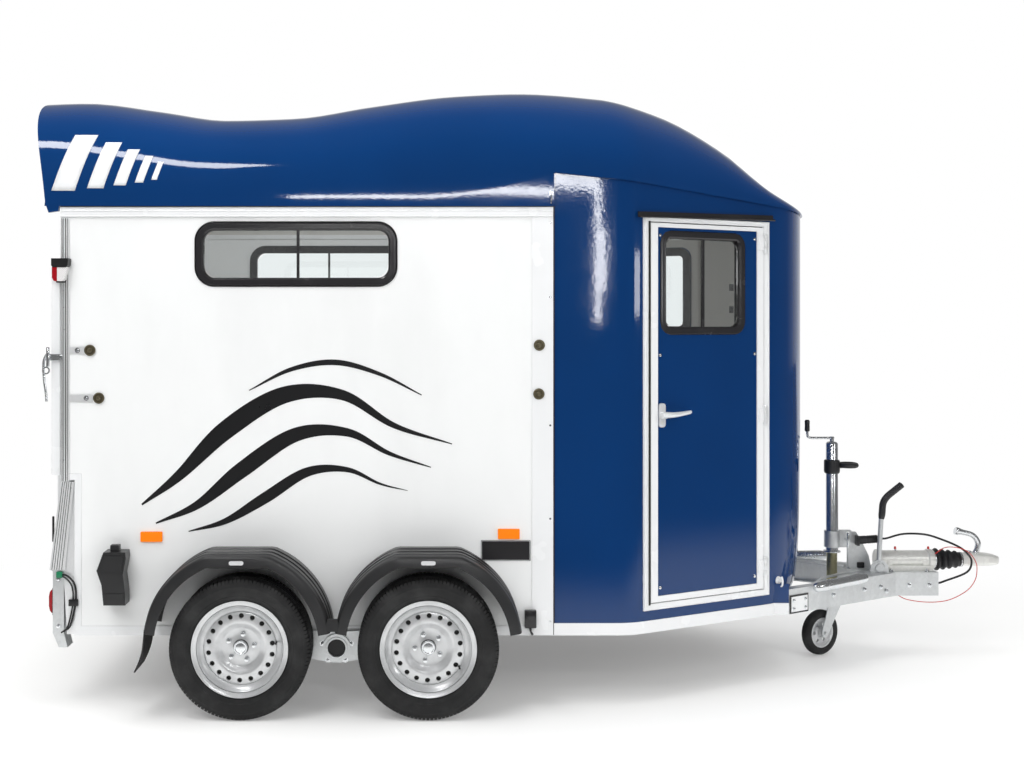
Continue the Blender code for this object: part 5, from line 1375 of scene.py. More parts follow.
class TRAILER_OT_trim(Builder, bpy.types.Operator):
    """Bar bolts, reflectors, a blank plate, socket, hooks and marker lamps on the walls"""

    bl_idname = "trailer.trim"
    bl_label = "Wall Fittings"

    def execute(self, context):
        for side, sign in SIDES:
            place = wall_frame(sign)
            buttons, straps, metal = Shape(place), Shape(place), Shape(place)
            for u, v in ((-1.982, 1.522), (-1.944, 1.317), (-0.056, 1.544), (-0.058, 1.335)):
                wall_button(buttons, u, v, 0.0036, 0.024)
            for u, v in ((-1.982, 1.522), (-1.944, 1.317)):
                straps.prism([(-2.07, v + 0.016), (-2.07, v - 0.013), (-2.05, v - 0.013), (u - 0.026, v - 0.017),
                              (u - 0.026, v + 0.017), (-2.05, v + 0.014)], 0.0032, 0.0056, bevel=0.0008)
                metal.bolt((u - 0.053, v, 0.0056), (0, 0, 1), 0.0085, 0.005, 0.011)
            post = Shape(place)
            for low, high, depth in ((-2.104, -2.0985, 0.0072), (-2.0965, -2.0875, 0.005), (-2.0855, -2.078, 0.0058),
                                     (-2.076, -2.0705, 0.0072)):
                post.block((low, high), (0.96, 2.088), (0.0032, depth), 0.0008)
            post.piece(f"rear_post_{side}", "alloy")
            # dark strips in the gaps between the post's blocks: painted shade of the grooves
            lines = Shape(place)
            for u, width in ((-2.104, 0.0016), (-2.0975, 0.002), (-2.0865, 0.003), (-2.077, 0.002)):
                lines.block((u, u + width), (0.961, 2.087), (0.004, 0.0074), 0)
            lines.piece(f"rear_post_lines_{side}", "drum")
            buttons.piece(f"bar_buttons_{side}", "brass")
            straps.piece(f"bar_straps_{side}", "alloy")
            for v in (0.36, 0.8, 1.2, 1.75, 2.07):
                metal.rod((SEAM_X - 0.016, v, 0.0032), (SEAM_X - 0.016, v, 0.0046), 0.0045, sides=14)
            metal.rod((-0.006, 2.15, 0.013), (-0.006, 2.19, 0.013), 0.0035, sides=10)
            metal.lathe(rectangle((0.0045, 0.009), (-0.002, 0.002)), Matrix.Translation((-0.006, 2.194, 0.013)), 18)
            metal.piece(f"wall_bolts_{side}", "bright_zinc")
            dark = Shape(place).block((-0.12, -0.07), (0.336, 0.412), (0.0032, 0.03), 0.004)
            dark.rod((-0.096, 0.388, 0.028), (-0.096, 0.388, 0.04), 0.017, sides=24, bevel=0.002)
            dark.tube(smooth_curve([(-0.096, 0.345, 0.018), (-0.094, 0.322, 0.019), (-0.086, 0.306, 0.012)], 4), 0.005)
            dark.prism(rounded((-0.306, -0.093), (0.619, 0.708), 0.005), 0.0003, 0.0022)
            dark.piece(f"wall_dark_fittings_{side}", "gloss_black")
            edge = Shape(place)
            edge.band(rounded((-0.304, -0.095), (0.621, 0.706), 0.004),
                      [(0.0, 0.0022), (0.0, 0.0028), (0.0018, 0.0028), (0.0018, 0.0022)])
            edge.piece(f"plate_border_{side}", "white_film")
            amber = Shape(place)
            for cu, cv in ((-1.718, 0.723), (-0.187, 0.735)):
                amber.prism(rounded((cu - 0.0465, cu + 0.0465), (cv - 0.0215, cv + 0.0215), 0.004), 0.0003, 0.0085,
                            bevel=0.0016)
            amber.piece(f"side_reflectors_{side}", "amber")
            self.marker(side, place)
            self.tie_hook(side, sign)
        return {"FINISHED"}

    @staticmethod
    def marker(side, place):
        """A lamp on a rubber arm: red to the rear, clear to the front."""
        arm = Shape(place)
        arm.prism([(-2.135, 1.914), (-2.062, 1.914), (-2.065, 1.884), (-2.072, 1.876), (-2.128, 1.876),
                   (-2.135, 1.884)], 0.0034, 0.05, bevel=0.003)
        arm.prism([(-2.13, 1.9), (-2.068, 1.9), (-2.084, 1.812), (-2.124, 1.812)], 0.0036, 0.014, bevel=0.002)
        arm.piece(f"marker_arm_{side}", "rubber", replaces=[f"marker_lamp_{side}"])
        front = [(-2.11, 1.877), (-2.067, 1.877), (-2.079, 1.826), (-2.088, 1.817), (-2.11, 1.817)]
        rear = [(-2.132, 1.877), (-2.1105, 1.877), (-2.1105, 1.817), (-2.124, 1.817), (-2.132, 1.832)]
        for end, finish, outline in (("front", "clear_lens", front), ("rear", "red_lens", rear)):
            Shape(place).prism(outline, 0.012, 0.048, bevel=0.004).piece(f"marker_{end}_lens_{side}", finish)

    @staticmethod
    def tie_hook(side, sign):
        """A small hook on a round plate, low on the front corner."""
        point = next(p for p in NOSE_HALF if p.x > 1.073)
        heading = math.atan2(point.y - DOOR_END[1] - FRONT_R * math.cos(DOOR_TURN),
                             point.x - DOOR_END[0] + FRONT_R * math.sin(DOOR_TURN))
        out = Vector((math.cos(heading), -sign * math.sin(heading), 0))
        foot = Vector((point.x - tuck(point.x, 0.453), -sign * point.y, 0.453))
        hook = Shape().rod(foot - out * 0.004, foot + out * 0.004, 0.019, sides=24, bevel=0.001)
        hook.rod(foot, foot + out * 0.022, 0.007, sides=12)
        hook.tube(smooth_curve([foot + out * along + Vector((0, 0, up)) for along, up in (
            (0.02, 0.02), (0.026, 0), (0.022, -0.022), (0.008, -0.026))], 5), 0.0045)
        hook.piece(f"tie_hook_{side}", "rail")


class TRAILER_OT_door(Builder, bpy.types.Operator):
    """Rain strip, seal, lock, handle and screws of the groom's door"""

    bl_idname = "trailer.door"
    bl_label = "Door Fittings"

    def execute(self, context):
        strip = Shape(door_frame())
        section = [(0.0085, 2.108), (0.026, 2.104), (0.029, 2.107), (0.0275, 2.111), (0.014, 2.116), (0.013, 2.13),
                   (0.0085, 2.132)]
        strip.loft([[(u, v - 0.012 * (DOOR_W - u) / DOOR_W, w) for w, v in section]
                    for u in (-0.034, 0.25, 0.5, DOOR_W + 0.02)])
        strip.piece("rain_strip", "gloss_black")
        seal = Shape(door_frame())
        inner = rectangle((0.0302, DOOR_W - 0.0302), (0.4242, 2.0778))
        seal.band(inner, [(0.0, -0.02), (0.0, -0.004), (0.0022, -0.004), (0.0022, -0.02)])
        seal.block((0.0235, 0.032), (0.42, 2.08), (0.0088, 0.0128), 0.0008)
        seal.piece("door_seal", "rubber")
        knuckles = Shape(door_frame())
        for v in (2.0, 1.22, 0.53):
            for middle in (v - 0.03, v, v + 0.03):
                knuckles.rod((0.682, middle - 0.0142, 0.017), (0.682, middle + 0.0142, 0.017), 0.0085, sides=20,
                             bevel=0.001)
            knuckles.block((0.688, 0.708), (v - 0.042, v + 0.042), (0.0092, 0.012), 0.0008)
        knuckles.piece("door_hinges", "alloy")
        trim = Shape(door_frame())
        trim.band(rectangle((0.002, DOOR_W - 0.002), (0.399, 2.098)),
                  [(0.0, 0.0088), (0.0, 0.0125), (0.003, 0.014), (0.006, 0.014), (0.008, 0.0088)])
        trim.piece("door_frame_bead", "rail")

        screws = Shape(door_frame())
        for u, v in ((0.088, 2.02), (0.088, 0.49), (0.628, 2.02), (0.628, 0.49), (0.088, 1.5), (0.628, 1.5)):
            screws.lathe([(0.0, 0.0062), (0.0075, 0.0062), (0.007, 0.0082), (0.0035, 0.0096), (0.0, 0.0098)],
                         Matrix.Translation((u, v, 0.0)), 20)
        screws.piece("door_screws", "bright_zinc", "groom_door")

        handle = Shape(door_frame()).prism(rounded((0.078, 0.112), (1.186, 1.29), 0.013), 0.0063, 0.015, bevel=0.003)
        handle.rod((0.095, 1.238, 0.01), (0.095, 1.238, 0.04), 0.015, 0.013, 24)
        line = smooth_curve([(0.076, 1.24, 0.04), (0.095, 1.241, 0.043), (0.13, 1.24, 0.043),
                             (0.175, 1.243, 0.041), (0.215, 1.247, 0.038), (0.233, 1.249, 0.035)], 4)
        sizes = [0.9 + 0.25 * math.cos(math.pi * i / len(line)) for i in range(len(line))]
        handle.tube(line, 0.0135, 16, sizes, 0.8)
        handle.piece("door_lever", "alloy", "groom_door", replaces=["door_handle"])
        lock = Shape(door_frame()).rod((0.095, 1.205, 0.014), (0.095, 1.205, 0.0175), 0.0085, sides=24, bevel=0.0008)
        lock.block((0.0942, 0.0958), (1.2, 1.21), (0.0172, 0.018))
        lock.piece("door_lock", "cast", "groom_door")
        panes = Shape(door_frame())
        for v in (1.8, 1.7):
            panes.block((0.5, 0.522), (v - 0.016, v + 0.016), (-0.022, -0.0145), 0.002)
        panes.piece("window_catches", "gloss_black", "groom_door")
        return {"FINISHED"}


class TRAILER_OT_rear(Builder, bpy.types.Operator):
    """Ramp ribs, latches, rear reflectors, plate and cable at the tail"""

    bl_idname = "trailer.rear"
    bl_label = "Rear End"

    def execute(self, context):
        for side, sign in SIDES:
            y = sign * 0.892
            latch = Shape().rod((-2.158, y, 1.452), (-2.158, y, 1.535), 0.0075, sides=16, bevel=0.001)
            latch.block((-2.172, -2.1), sorted((sign * 0.88, sign * 0.886)), (1.478, 1.506), 0.002)
            latch.lathe(rectangle((0.011, 0.0165), (-0.0028, 0.0028)),
                        Matrix.Translation((-2.166, y, 1.436)) @ Matrix.Rotation(math.pi / 2, 4, "X"), 24)
            latch.tube(smooth_curve([(-2.166, y, 1.5), (-2.176, y, 1.47), (-2.174, y, 1.4), (-2.166, y, 1.34),
                                     (-2.163, y, 1.304)], 5), 0.0062, 12, None, 0.6)
            latch.piece(f"ramp_latch_{side}", "bright_zinc")
            corner = Shape(side_frame(sign))
            corner.prism([(-2.1045, 0.958), (-2.051, 0.958), (-2.0905, 0.577), (-2.1515, 0.58)], 0.8765, 0.8795,
                         bevel=0.001)
            corner.prism([(-2.057, 0.956), (-2.041, 0.956), (-2.041, 0.304), (-2.082, 0.304), (-2.097, 0.572)], 0.8705,
                         0.8735)
            corner.piece(f"corner_cover_{side}", "alloy")
            # the lines are dark strips between the raised edges: painted shade of the profile's grooves
            for name, finish, shares, half, top in (
                    ("edges", "alloy", (0.02, 0.36, 0.7, 0.98), 0.0035, 0.8815),
                    ("lines", "drum", (0.11, 0.27, 0.45, 0.61, 0.8), 0.001, 0.8801)):
                edges = Shape(side_frame(sign))
                for share in shares:
                    low, high = -2.1515 + 0.061 * share, -2.1045 + 0.0535 * share
                    edges.prism([(low - half, 0.581), (low + half, 0.581), (high + half, 0.957), (high - half, 0.957)],
                                0.879, top)
                edges.piece(f"corner_{name}_{side}", finish)
            bolts = Shape()
            for z in (0.34, 0.54):
                bolts.bolt((-2.118, sign * 0.8762, z), (0, sign, 0), 0.008, 0.005, 0.011)
            bolts.piece(f"corner_bolts_{side}", "bright_zinc")
            self.lamp(side, sign)
            self.cable(side, sign)

        ribs = Shape()
        for index in range(9):
            z = 0.6 + 0.14 * index
            half = 0.725 if z < 0.98 else 0.815
            ribs.block((-2.1495, -2.1455), (-half, half), (z - 0.012, z + 0.012), 0.0015)
        ribs.piece("ramp_ribs", "rail", "ramp")
        mat = Shape()
        mat.prism([(-0.7, 0.53), (0.7, 0.53), (0.7, 0.985), (0.79, 0.985), (0.79, 1.84), (-0.79, 1.84),
                   (-0.79, 0.985), (-0.7, 0.985)], 0.0, 0.003, Matrix.Translation((-2.115, 0, 0)) @ REAR)
        for index in range(8):
            mat.block((-2.1152, -2.1095), (-0.69, 0.69), (0.62 + 0.155 * index, 0.64 + 0.155 * index), 0.0015)
        mat.piece("ramp_mat", "rubber", "ramp")
        plate = Shape().block((-2.15, -2.1458), (-0.27, 0.27), (0.69, 0.822), 0.0012)
        plate.piece("number_plate_blank", "white", "ramp")
        red = Shape(Matrix.Translation((-2.146, 0, 0)) @ REAR)
        for y in (-0.62, 0.62):
            red.prism([(y - 0.075, 0.63), (y + 0.075, 0.63), (y, 0.76)], 0.0, 0.006, bevel=0.0015)
        red.piece("triangle_reflectors", "red_lens", "ramp")
        knobs = Shape()
        for y in (-0.45, 0.0, 0.45):
            knobs.rod((-2.146, y, 1.885), (-2.152, y, 1.885), 0.016, sides=24, bevel=0.002)
        knobs.piece("ramp_buffers", "rubber", "ramp")
        return {"FINISHED"}

    @staticmethod
    def lamp(side, sign):
        """A rounded red lamp on the rear corner."""
        lens_shape = Shape(side_frame(sign))
        outline = [(-2.1424, 0.393), (-2.1424, 0.496), (-2.15, 0.4935), (-2.157, 0.484), (-2.1605, 0.466),
                   (-2.1605, 0.424), (-2.157, 0.406), (-2.15, 0.3955)]
        lens_shape.prism(outline, 0.806, 0.87, bevel=0.0025)
        lens_shape.piece(f"rear_lamp_{side}", "red_lens", replaces=[f"tail_lamp_{side}"])
        base = Shape(side_frame(sign)).block((-2.1435, -2.142), (0.386, 0.503), (0.799, 0.877), 0.0006)
        base.piece(f"rear_lamp_base_{side}", "gloss_black")

    @staticmethod
    def cable(side, sign):
        """The lamp's cable, held close along the corner, with a green connector."""
        y = sign * 0.886
        line = smooth_curve([(-2.112, sign * 0.88, 0.562), (-2.076, y, 0.556), (-2.046, y, 0.52),
                             (-2.04, y, 0.46), (-2.05, y, 0.395), (-2.066, y, 0.34), (-2.092, sign * 0.88, 0.318)],
                            6)
        wire = Shape().tube(line, 0.0042, 10)
        wire.tube([p + Vector((-0.012, 0, -0.006)) for p in line], 0.0034, 10)
        wire.block((-2.0705, -2.03), sorted((sign * 0.8815, sign * 0.892)), (0.428, 0.456), 0.002)
        wire.block((-2.145, -2.136), sorted((sign * 0.868, sign * 0.878)), (0.7, 0.81), 0.003)
        wire.piece(f"lamp_cable_{side}", "rubber")
        plug = Shape().block((-2.124, -2.098), sorted((sign * 0.8775, sign * 0.8915)), (0.548, 0.574), 0.003)
        plug.piece(f"cable_joint_{side}", "green")


BEAM_DIR = Vector((0.67, 0.414)).normalized()


def beam_point(along, out, z, sign=-1):
    """A point by its distance along a slanted beam from the bend, and outwards from its face."""
    flat = Vector((1.13, -0.48)) + BEAM_DIR * along + Vector((BEAM_DIR.y, -BEAM_DIR.x)) * out
    return Vector((flat.x, -sign * flat.y, z))


def coupling_axis(x):
    """Z along the coupling's tube, from a place on its middle line."""
    return Matrix.Translation((x, 0, COUPLING_Z)) @ Matrix.Rotation(math.pi / 2, 4, "Y")


# pieces that the supply cable ends in
PLUG = []


class TRAILER_OT_drawbar(Builder, bpy.types.Operator):
    """Coupling, bellows, handbrake, bolts and brackets of the drawbar"""

    bl_idname = "trailer.drawbar"
    bl_label = "Drawbar"

    def execute(self, context):
        for side, sign in SIDES:
            for name, finish, us, vs, ws in (
                    ("backing", "gloss_black", (0.004, 0.126), (0.299, 0.384), (0.0004, 0.003)),
                    ("plate", "rail", (0.012, 0.118), (0.307, 0.376), (0.003, 0.0056))):
                plate = Shape().loft([[beam_point(u, w, v, sign) for u, v in rectangle(us, vs)] for w in ws])
                plate.piece(f"beam_{name}_{side}", finish)
            bolts = Shape()
            out = beam_point(0, 1, 0, sign) - beam_point(0, 0, 0, sign)
            for along, z in ((0.026, 0.322), (0.104, 0.322), (0.026, 0.36), (0.104, 0.36)):
                bolts.bolt(beam_point(along, 0.0056, z, sign), out, 0.006, 0.004, 0.009)
            for along, z in ((0.3, 0.355), (0.52, 0.355), (0.64, 0.355), (0.68, 0.33)):
                bolts.bolt(beam_point(along, 0.0003, z, sign), out, 0.0095, 0.006, 0.013)
            bolts.piece(f"beam_bolts_{side}", "bright_zinc")

        for side, sign in SIDES:
            start, stop = Vector((1.268, sign * 0.405, 0.404)), Vector((1.56, sign * 0.285, 0.43))
            turn = (stop - start).to_track_quat("Z", "Y").to_matrix().to_4x4()
            long = (stop - start).length
            shoulder = Shape().lathe([(0.0005, 0.0), (0.011, 0.002), (0.019, 0.01), (0.0235, 0.024), (0.025, 0.05),
                                      (0.026, long - 0.05), (0.021, long - 0.012), (0.0005, long)],
                                     Matrix.Translation(start) @ turn, 28)
            shoulder.piece(f"beam_shoulder_{side}", "bright_zinc")
        for side, sign in SIDES:
            for finish, zs in (("blue", (0.352, 0.44)), ("rail", (0.3, 0.351))):
                cover = Shape(side_frame(sign)).prism(rectangle((1.04, 1.128), zs), 0.4815, 0.486, bevel=0.002)
                cover.piece(f"beam_cover_{finish}_{side}", finish)

        housing = Shape()
        housing.lathe([(0.0, 0.0), (0.047, 0.0), (0.0495, 0.0025), (0.0495, 0.016), (0.047, 0.0185), (0.0445, 0.02),
                       (0.0445, 0.25), (0.047, 0.252), (0.0505, 0.255), (0.0505, 0.278), (0.048, 0.2825),
                       (0.04, 0.2838), (0.0, 0.2838)], coupling_axis(1.7), 64)
        housing.prism([(1.717, 0.4135), (1.968, 0.4135), (1.968, 0.434), (1.945, 0.44), (1.74, 0.44),
                       (1.717, 0.434)], -0.052, 0.052, side_frame(1), 0.003)
        housing.block((1.742, 1.768), (-0.046, 0.046), (0.436, 0.47), 0.004)
        housing.block((1.918, 1.944), (-0.046, 0.046), (0.436, 0.47), 0.004)
        housing.piece("overrun_housing", "cast", replaces=["coupling_housing"])
        fixings = Shape()
        for x in (1.755, 1.931):
            for y in (-0.066, 0.066):
                fixings.bolt((x, y, 0.4133), (0, 0, 1), 0.0095, 0.008, 0.014)
        caps = Shape()
        for x in (1.798, 1.963):
            fixings.rod((x, 0, 0.505), (x, 0, 0.514), 0.006, sides=6)
            caps.rod((x, 0, 0.5135), (x, 0, 0.526), 0.006, 0.005, 16, 0.001)
        caps.piece("grease_caps", "red_sheath")
        for x in (1.735, 1.835, 1.935):
            for sign in (-1, 1):
                fixings.bolt((x, sign * 0.0852, 0.352), (0, sign, 0), 0.009, 0.007, 0.014)
        fixings.piece("coupling_bolts", "bright_zinc")

        gaiter = Shape()
        pitch, end = 0.0318, 0.1414
        profile = [(0.0, 0.0), (0.041, 0.0), (0.0425, 0.001)]
        for index in range(4):
            crest = 0.0555 - 0.0042 * index
            profile += [(radius, pitch * index + along) for radius, along in (
                (0.04 - 0.001 * index, 0.0035), (crest - 0.003, 0.0105), (crest, 0.0145), (crest - 0.001, 0.019),
                (crest - 0.006, 0.024))]
        profile += [(0.0345, end - 0.01), (0.036, end - 0.008), (0.036, end), (0.0, end)]
        gaiter.lathe(profile, coupling_axis(1.9843), 56)
        gaiter.piece("bellows_rubber", "rubber", replaces=["bellows"], angle=50)
        clips = Shape()
        for x, radius in ((1.987, 0.0432), (2.1195, 0.0368)):
            clips.lathe(rectangle((radius - 0.002, radius), (-0.003, 0.003)), coupling_axis(x), 48)
        clips.piece("bellows_clips", "bright_zinc")
        self.head()
        self.handbrake()
        return {"FINISHED"}

    @staticmethod
    def head():
        """Cast head with its handle and socket."""
        # x, half width, bottom, top
        table = ((2.1262, 0.03, 0.436, 0.49), (2.14, 0.032, 0.435, 0.493), (2.165, 0.036, 0.434, 0.4965),
                 (2.19, 0.04, 0.434, 0.4965), (2.215, 0.043, 0.434, 0.494), (2.245, 0.0435, 0.435, 0.492),
                 (2.27, 0.041, 0.436, 0.489), (2.29, 0.035, 0.438, 0.485), (2.303, 0.025, 0.441, 0.48),
                 (2.3095, 0.013, 0.446, 0.474))
        shape = Shape()
        rings = []
        for x, half, bottom, top in table:
            bevel = min(half, top - bottom) * 0.42
            rings.append([(x, y, z) for y, z in rounded((-half, half), (bottom, top), bevel, 7)])
        shape.loft(rings)
        head = loose(shape, "ball_coupling")
        socket = Shape().ball((2.25, 0, 0.43), 0.0255, 16)
        carve(head, loose(socket, "ball_socket"))
        dress(head, "cast", replaces=["coupling_head"], angle=45)
        grip = Shape()
        line = smooth_curve([(2.19, 0, 0.48), (2.207, 0, 0.515), (2.209, 0, 0.55), (2.184, 0, 0.582),
                             (2.14, 0, 0.596), (2.097, 0, 0.604)], 6)
        widths = [1.0 + 0.5 * math.exp(-((i / len(line) - 0.93) / 0.08) ** 2) for i in range(len(line))]
        grip.tube(line, 0.0122, 20, widths, 1.15)
        grip.rod((2.19, -0.022, 0.488), (2.19, 0.022, 0.488), 0.0105, sides=24, bevel=0.001)
        grip.block((2.15, 2.174), (-0.01, 0.01), (0.494, 0.506), 0.003)
        grip.piece("coupling_handle", "bright_zinc")

    @staticmethod
    def handbrake():
        lever = Shape().rod((1.687, -0.098, 0.4356), (1.687, -0.062, 0.4356), 0.02, sides=32, bevel=0.002)
        lever.tube(smooth_curve([(1.687, -0.08, 0.43), (1.692, -0.08, 0.55), (1.7, -0.08, 0.69)], 6), 0.0118, 20)
        lever.prism([(1.64, 0.414), (1.735, 0.414), (1.728, 0.452), (1.706, 0.474), (1.672, 0.474), (1.648, 0.452)],
                    0.086, 0.0905, side_frame(-1), 0.001)
        for step in range(9):
            angle = math.radians(20 + 17 * step)
            x, z = 1.687 + 0.03 * math.cos(angle), 0.4356 + 0.03 * math.sin(angle)
            lever.rod((x, -0.0975, z), (x, -0.09, z), 0.0035, sides=8)
        lever.piece("handbrake_rod", "zinc", replaces=["handbrake_lever"])
        grip = Shape()
        line = smooth_curve([(1.7005, -0.08, 0.676), (1.704, -0.08, 0.705), (1.709, -0.08, 0.752),
                             (1.727, -0.08, 0.783), (1.762, -0.08, 0.813), (1.797, -0.08, 0.841),
                             (1.803, -0.08, 0.846)], 5)
        ends = [min(1.0, 0.8 + 0.06 * min(i, 4), 0.62 + 0.1 * (len(line) - 1 - i)) for i in range(len(line))]
        grip.tube(line, 0.0165, 20, ends)
        grip.piece("handbrake_grip", "grip")
        park = Shape().rod((1.6, PLUG_Y, 0.5632), (1.64, PLUG_Y, 0.5659), 0.02, sides=32, bevel=0.002)
        park.block((1.592, 1.604), (-0.056, -0.013), (0.538, 0.586), 0.003)
        park.piece("plug_holder", "grip")
        plug = Shape().rod((1.6402, PLUG_Y, 0.5659), (1.7, PLUG_Y, 0.5699), 0.019, 0.0165, 32, 0.002)
        for step in range(5):
            x = 1.65 + 0.01 * step
            z = 0.5665 + 0.0007 * step
            plug.rod((x, PLUG_Y, z), (x + 0.004, PLUG_Y, z + 0.0003), 0.02, sides=32)
        plug.rod((1.698, PLUG_Y, 0.5698), (1.7205, PLUG_Y, 0.5713), 0.014, 0.01, 24, 0.001)
        PLUG.append(plug.piece("plug_body", "grip", replaces=["cable_plug"]))


class TRAILER_OT_jockey(Builder, bpy.types.Operator):
    """Jockey wheel with its tube, crank, clamp, fork and wheel"""

    bl_idname = "trailer.jockey"
    bl_label = "Jockey Wheel"

    def execute(self, context):
        x = JOCKEY_X
        axis = Matrix.Translation((x, 0, 0))
        post = Shape()
        post.lathe([(0.0266, 0.5), (0.0405, 0.5), (0.042, 0.5015), (0.042, 0.5055), (0.0405, 0.507), (0.03, 0.5085),
                    (0.0295, 0.512), (0.0295, 1.038), (0.027, 1.043),
                    (0.02, 1.048), (0.011, 1.0495), (0.01, 1.051), (0.01, 1.074), (0.0, 1.075), (0.0, 1.036),
                    (0.0266, 1.03)], axis, 48)
        post.tube(chaikin([(x + 0.01, 0, 1.067), (x - 0.06, 0, 1.067), (1.364, 0, 1.067), (1.3605, 0, 1.085),
                           (1.36, 0, 1.104)], 2), 0.006, 16)
        post.piece("jockey_post", "bright_zinc", replaces=["jockey_tube"])
        dark = Shape()
        dark.lathe([(0.0, 1.1), (0.0105, 1.1), (0.0125, 1.106), (0.0118, 1.13), (0.0125, 1.15), (0.0095, 1.157),
                    (0.0, 1.158)], Matrix.Translation((1.36, 0, 0)), 24)
        circle = [(x + 0.0795 + 0.039 * math.cos(a), 0.039 * math.sin(a), 0.932)
                  for a in (math.radians(170 - 340 * i / 36) for i in range(37))]
        dark.tube(circle, 0.013, 14)
        dark.lathe([(0.0298, 0.89), (0.0345, 0.892), (0.0375, 0.898), (0.0385, 0.905), (0.0385, 0.95), (0.037, 0.956),
                    (0.0298, 0.96)], axis, 40)
        dark.block((x + 0.0372, x + 0.05), (-0.014, 0.014), (0.917, 0.947), 0.002)
        dark.piece("jockey_grips", "grip")
        clamp = Shape()
        clamp.lathe([(0.03, 0.525), (0.0375, 0.525), (0.0382, 0.528), (0.0382, 0.602), (0.0375, 0.605),
                     (0.03, 0.605)], axis, 48)
        clamp.block((x + 0.0305, 1.577), (-0.014, -0.004), (0.524, 0.608), 0.002)
        clamp.block((x + 0.0305, 1.577), (0.004, 0.014), (0.524, 0.608), 0.002)
        clamp.prism([(1.56, 0.4155), (1.676, 0.4155), (1.664, 0.48), (1.625, 0.56), (1.6, 0.6),
                     (1.56, 0.6)], -0.01, 0.01, side_frame(1), 0.002)
        clamp.block((1.545, 1.69), (-0.035, 0.035), (0.4155, 0.4215), 0.001)
        clamp.piece("jockey_clamp", "zinc", replaces=["jockey_bracket"])
        screw = Shape().rod((1.545, -0.056, 0.566), (1.545, 0.026, 0.566), 0.006, sides=16)
        screw.rod((1.545, -0.052, 0.53), (1.545, -0.052, 0.602), 0.0055, sides=16, bevel=0.001)
        screw.bolt((1.545, 0.0142, 0.566), (0, 1, 0), 0.01, 0.008)
        for u in (1.556, 1.672):
            for y in (-0.026, 0.026):
                screw.bolt((u, y, 0.4216), (0, 0, 1), 0.0062, 0.004, 0.009)
        screw.piece("jockey_clamp_screw", "bright_zinc")
        Shape().block((1.604, 1.64), (-0.018, 0.018), (0.422, 0.45), 0.004).piece("lever_buffer", "rubber")

        leg = Shape()
        leg.lathe([(0.0126, 0.2482), (0.0235, 0.2482), (0.0255, 0.25), (0.0255, 0.858), (0.0245, 0.86), (0.0, 0.86),
                   (0.0, 0.285), (0.0126, 0.283)], axis, 40)
        leg.piece("jockey_leg_tube", "olive", "jockey_leg", replaces=["jockey_slide"])

        turn = axis @ Matrix.Rotation(JOCKEY_ANGLE, 4, "Z")
        side_in, side_out, crown = 0.031, 0.0355, 0.247
        fork = Shape(turn).block((-0.06, 0.03), (-side_out, side_out), (crown - 0.006, crown), 0.0015)
        arm = [(0.03, crown), (-0.06, crown), (-0.104, 0.118), (-0.1035, 0.104), (-0.096, 0.094), (-0.085, 0.09),
               (-0.074, 0.093), (-0.066, 0.1)]
        for sign in (-1, 1):
            fork.prism(arm, side_in, side_out, side_frame(sign), 0.0008)
            fork.bolt((-JOCKEY_TRAIL, sign * side_out, JOCKEY_WHEEL_R), (0, sign, 0), 0.0095, 0.004)
        fork.rod((-JOCKEY_TRAIL, -side_out - 0.001, JOCKEY_WHEEL_R), (-JOCKEY_TRAIL, side_out + 0.001, JOCKEY_WHEEL_R),
                 0.008, sides=24)
        fork.rod((0, 0, crown - 0.003), (0, 0, crown + 0.03), 0.0115, sides=24)
        fork.piece("jockey_fork_plate", "zinc", "jockey_caster", replaces=["jockey_fork"])

        wheel_turn = turn @ Matrix.Translation((-JOCKEY_TRAIL, 0, JOCKEY_WHEEL_R)) @ Matrix.Rotation(
            math.pi / 2, 4, "X")
        half = [(0.074, 0.018), (0.078, 0.0215), (0.086, 0.0235), (0.096, 0.0225), (0.104, 0.019), (0.1085, 0.013),
                (0.11, 0.005)]
        tyre = Shape().lathe(with_mirror(half), wheel_turn, 72)
        tyre.piece("jockey_tyre", "tyre", "jockey_roller", replaces=["jockey_wheel"])
        half = [(0.009, 0.024), (0.02, 0.024), (0.0215, 0.0225), (0.024, 0.009), (0.03, 0.006),
                (0.056, 0.006), (0.062, 0.009), (0.068, 0.017), (0.0735, 0.0175)]
        made = loose(Shape().lathe(with_mirror(half), wheel_turn, 60), "jockey_wheel_core")
        hole = Shape().rod((0, 0, -0.02), (0, 0, 0.02), 0.0095, sides=20)
        carve(made, repeat_on_circle("core_holes", hole, "rim", 6, 0.0425, wheel_turn))
        dress(made, "rim", "jockey_roller")
        return {"FINISHED"}


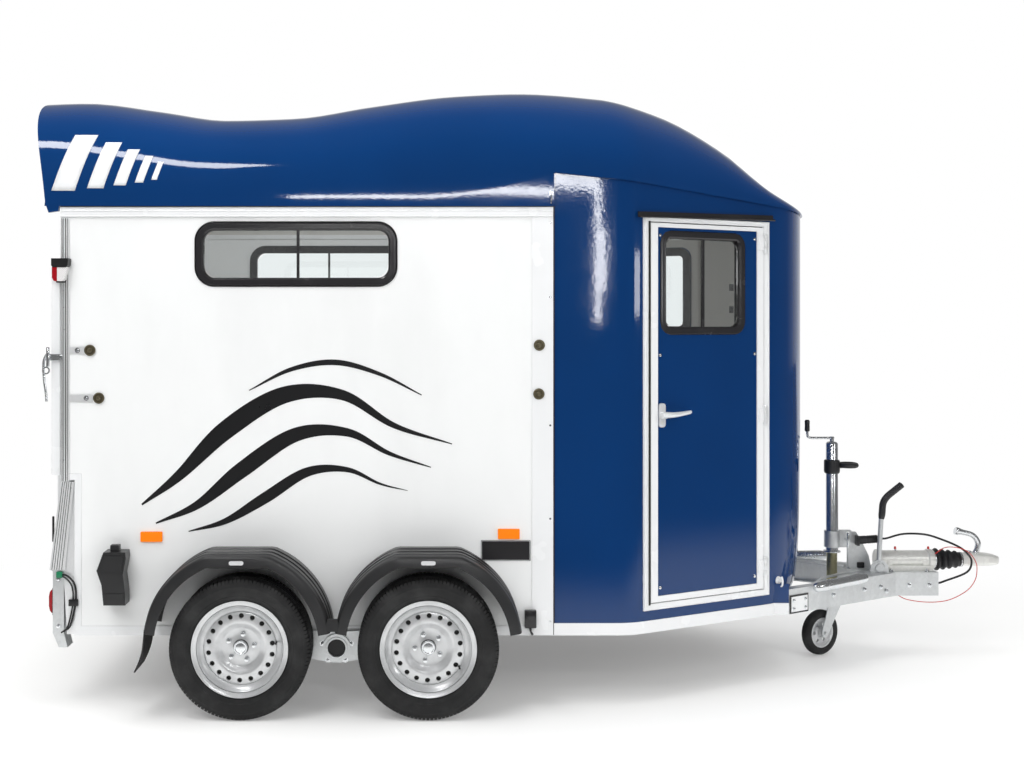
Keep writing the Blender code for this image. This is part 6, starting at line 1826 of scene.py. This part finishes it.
class TRAILER_OT_underside(Builder, bpy.types.Operator):
    """Suspension hubs, bolts and the wheel chock"""

    bl_idname = "trailer.underside"
    bl_label = "Underside and Chock"

    def execute(self, context):
        pivot = (-0.923, 0.252)
        for side, sign in SIDES:
            hubs = Shape(side_frame(sign))
            for u, v in ((-0.06, 0.018), (0.06, 0.018), (-0.036, -0.052), (0.036, -0.052)):
                hubs.bolt((pivot[0] + u, pivot[1] + v, 0.893), (0, 0, 1), 0.0085, 0.006, 0.012)
            hubs.piece(f"arm_bolts_{side}", "bright_zinc")
            rubber = Shape(side_frame(sign))
            rubber.lathe([(0.0, 0.896), (0.037, 0.896), (0.0378, 0.8935), (0.0378, 0.86), (0.0, 0.86)],
                         Matrix.Translation((pivot[0], pivot[1], 0)), 40)
            rubber.piece(f"tube_rubber_{side}", "rubber")
        chock = Shape(side_frame(-1))
        outline = [(-1.904, 0.446), (-1.812, 0.446), (-1.812, 0.5), (-1.822, 0.575), (-1.809, 0.645),
                   (-1.812, 0.67), (-1.904, 0.67), (-1.933, 0.592), (-1.912, 0.53)]
        chock.prism(outline, 0.879, 0.959, bevel=0.006)
        chock.block((-1.881, -1.842), (0.66, 0.698), (0.905, 0.94), 0.005)
        chock.prism([(-1.926, 0.59), (-1.9, 0.655), (-1.818, 0.655), (-1.828, 0.59)], 0.9585, 0.963, bevel=0.0015)
        chock.prism([(-1.9, 0.47), (-1.818, 0.47), (-1.818, 0.495), (-1.902, 0.495)], 0.9585, 0.9625, bevel=0.0012)
        chock.piece("chock_body", "plastic", replaces=["wheel_chock"])
        return {"FINISHED"}


class TRAILER_PT_panel(bpy.types.Panel):
    """Lists the steps that build the trailer"""

    bl_label = "Horse Trailer"
    bl_idname = "TRAILER_PT_panel"
    bl_space_type = "VIEW_3D"
    bl_region_type = "UI"
    bl_category = "Trailer"

    def draw(self, context):
        settings = context.scene.horse_trailer
        for name in settings.bl_rna.properties.keys():
            if name not in ("rna_type", "name"):
                self.layout.prop(settings, name)
        for operator in OPERATORS:
            self.layout.operator(operator.bl_idname)


OPERATORS = (
    TRAILER_OT_stage, TRAILER_OT_finishes, TRAILER_OT_drawbar, TRAILER_OT_cords, TRAILER_OT_shell,
    TRAILER_OT_artwork, TRAILER_OT_windows, TRAILER_OT_wheels, TRAILER_OT_fenders, TRAILER_OT_trim,
    TRAILER_OT_door, TRAILER_OT_rear, TRAILER_OT_jockey, TRAILER_OT_underside,
)
CLASSES = (TrailerSettings, *OPERATORS, TRAILER_PT_panel)


def register():
    for cls in CLASSES:
        bpy.utils.register_class(cls)
    bpy.types.Scene.horse_trailer = PointerProperty(type=TrailerSettings)


def unregister():
    del bpy.types.Scene.horse_trailer
    for cls in reversed(CLASSES):
        bpy.utils.unregister_class(cls)


def main():
    register()
    for operator in OPERATORS:
        group, name = operator.bl_idname.split(".")
        getattr(getattr(bpy.ops, group), name)()


if __name__ == "__main__":
    main()
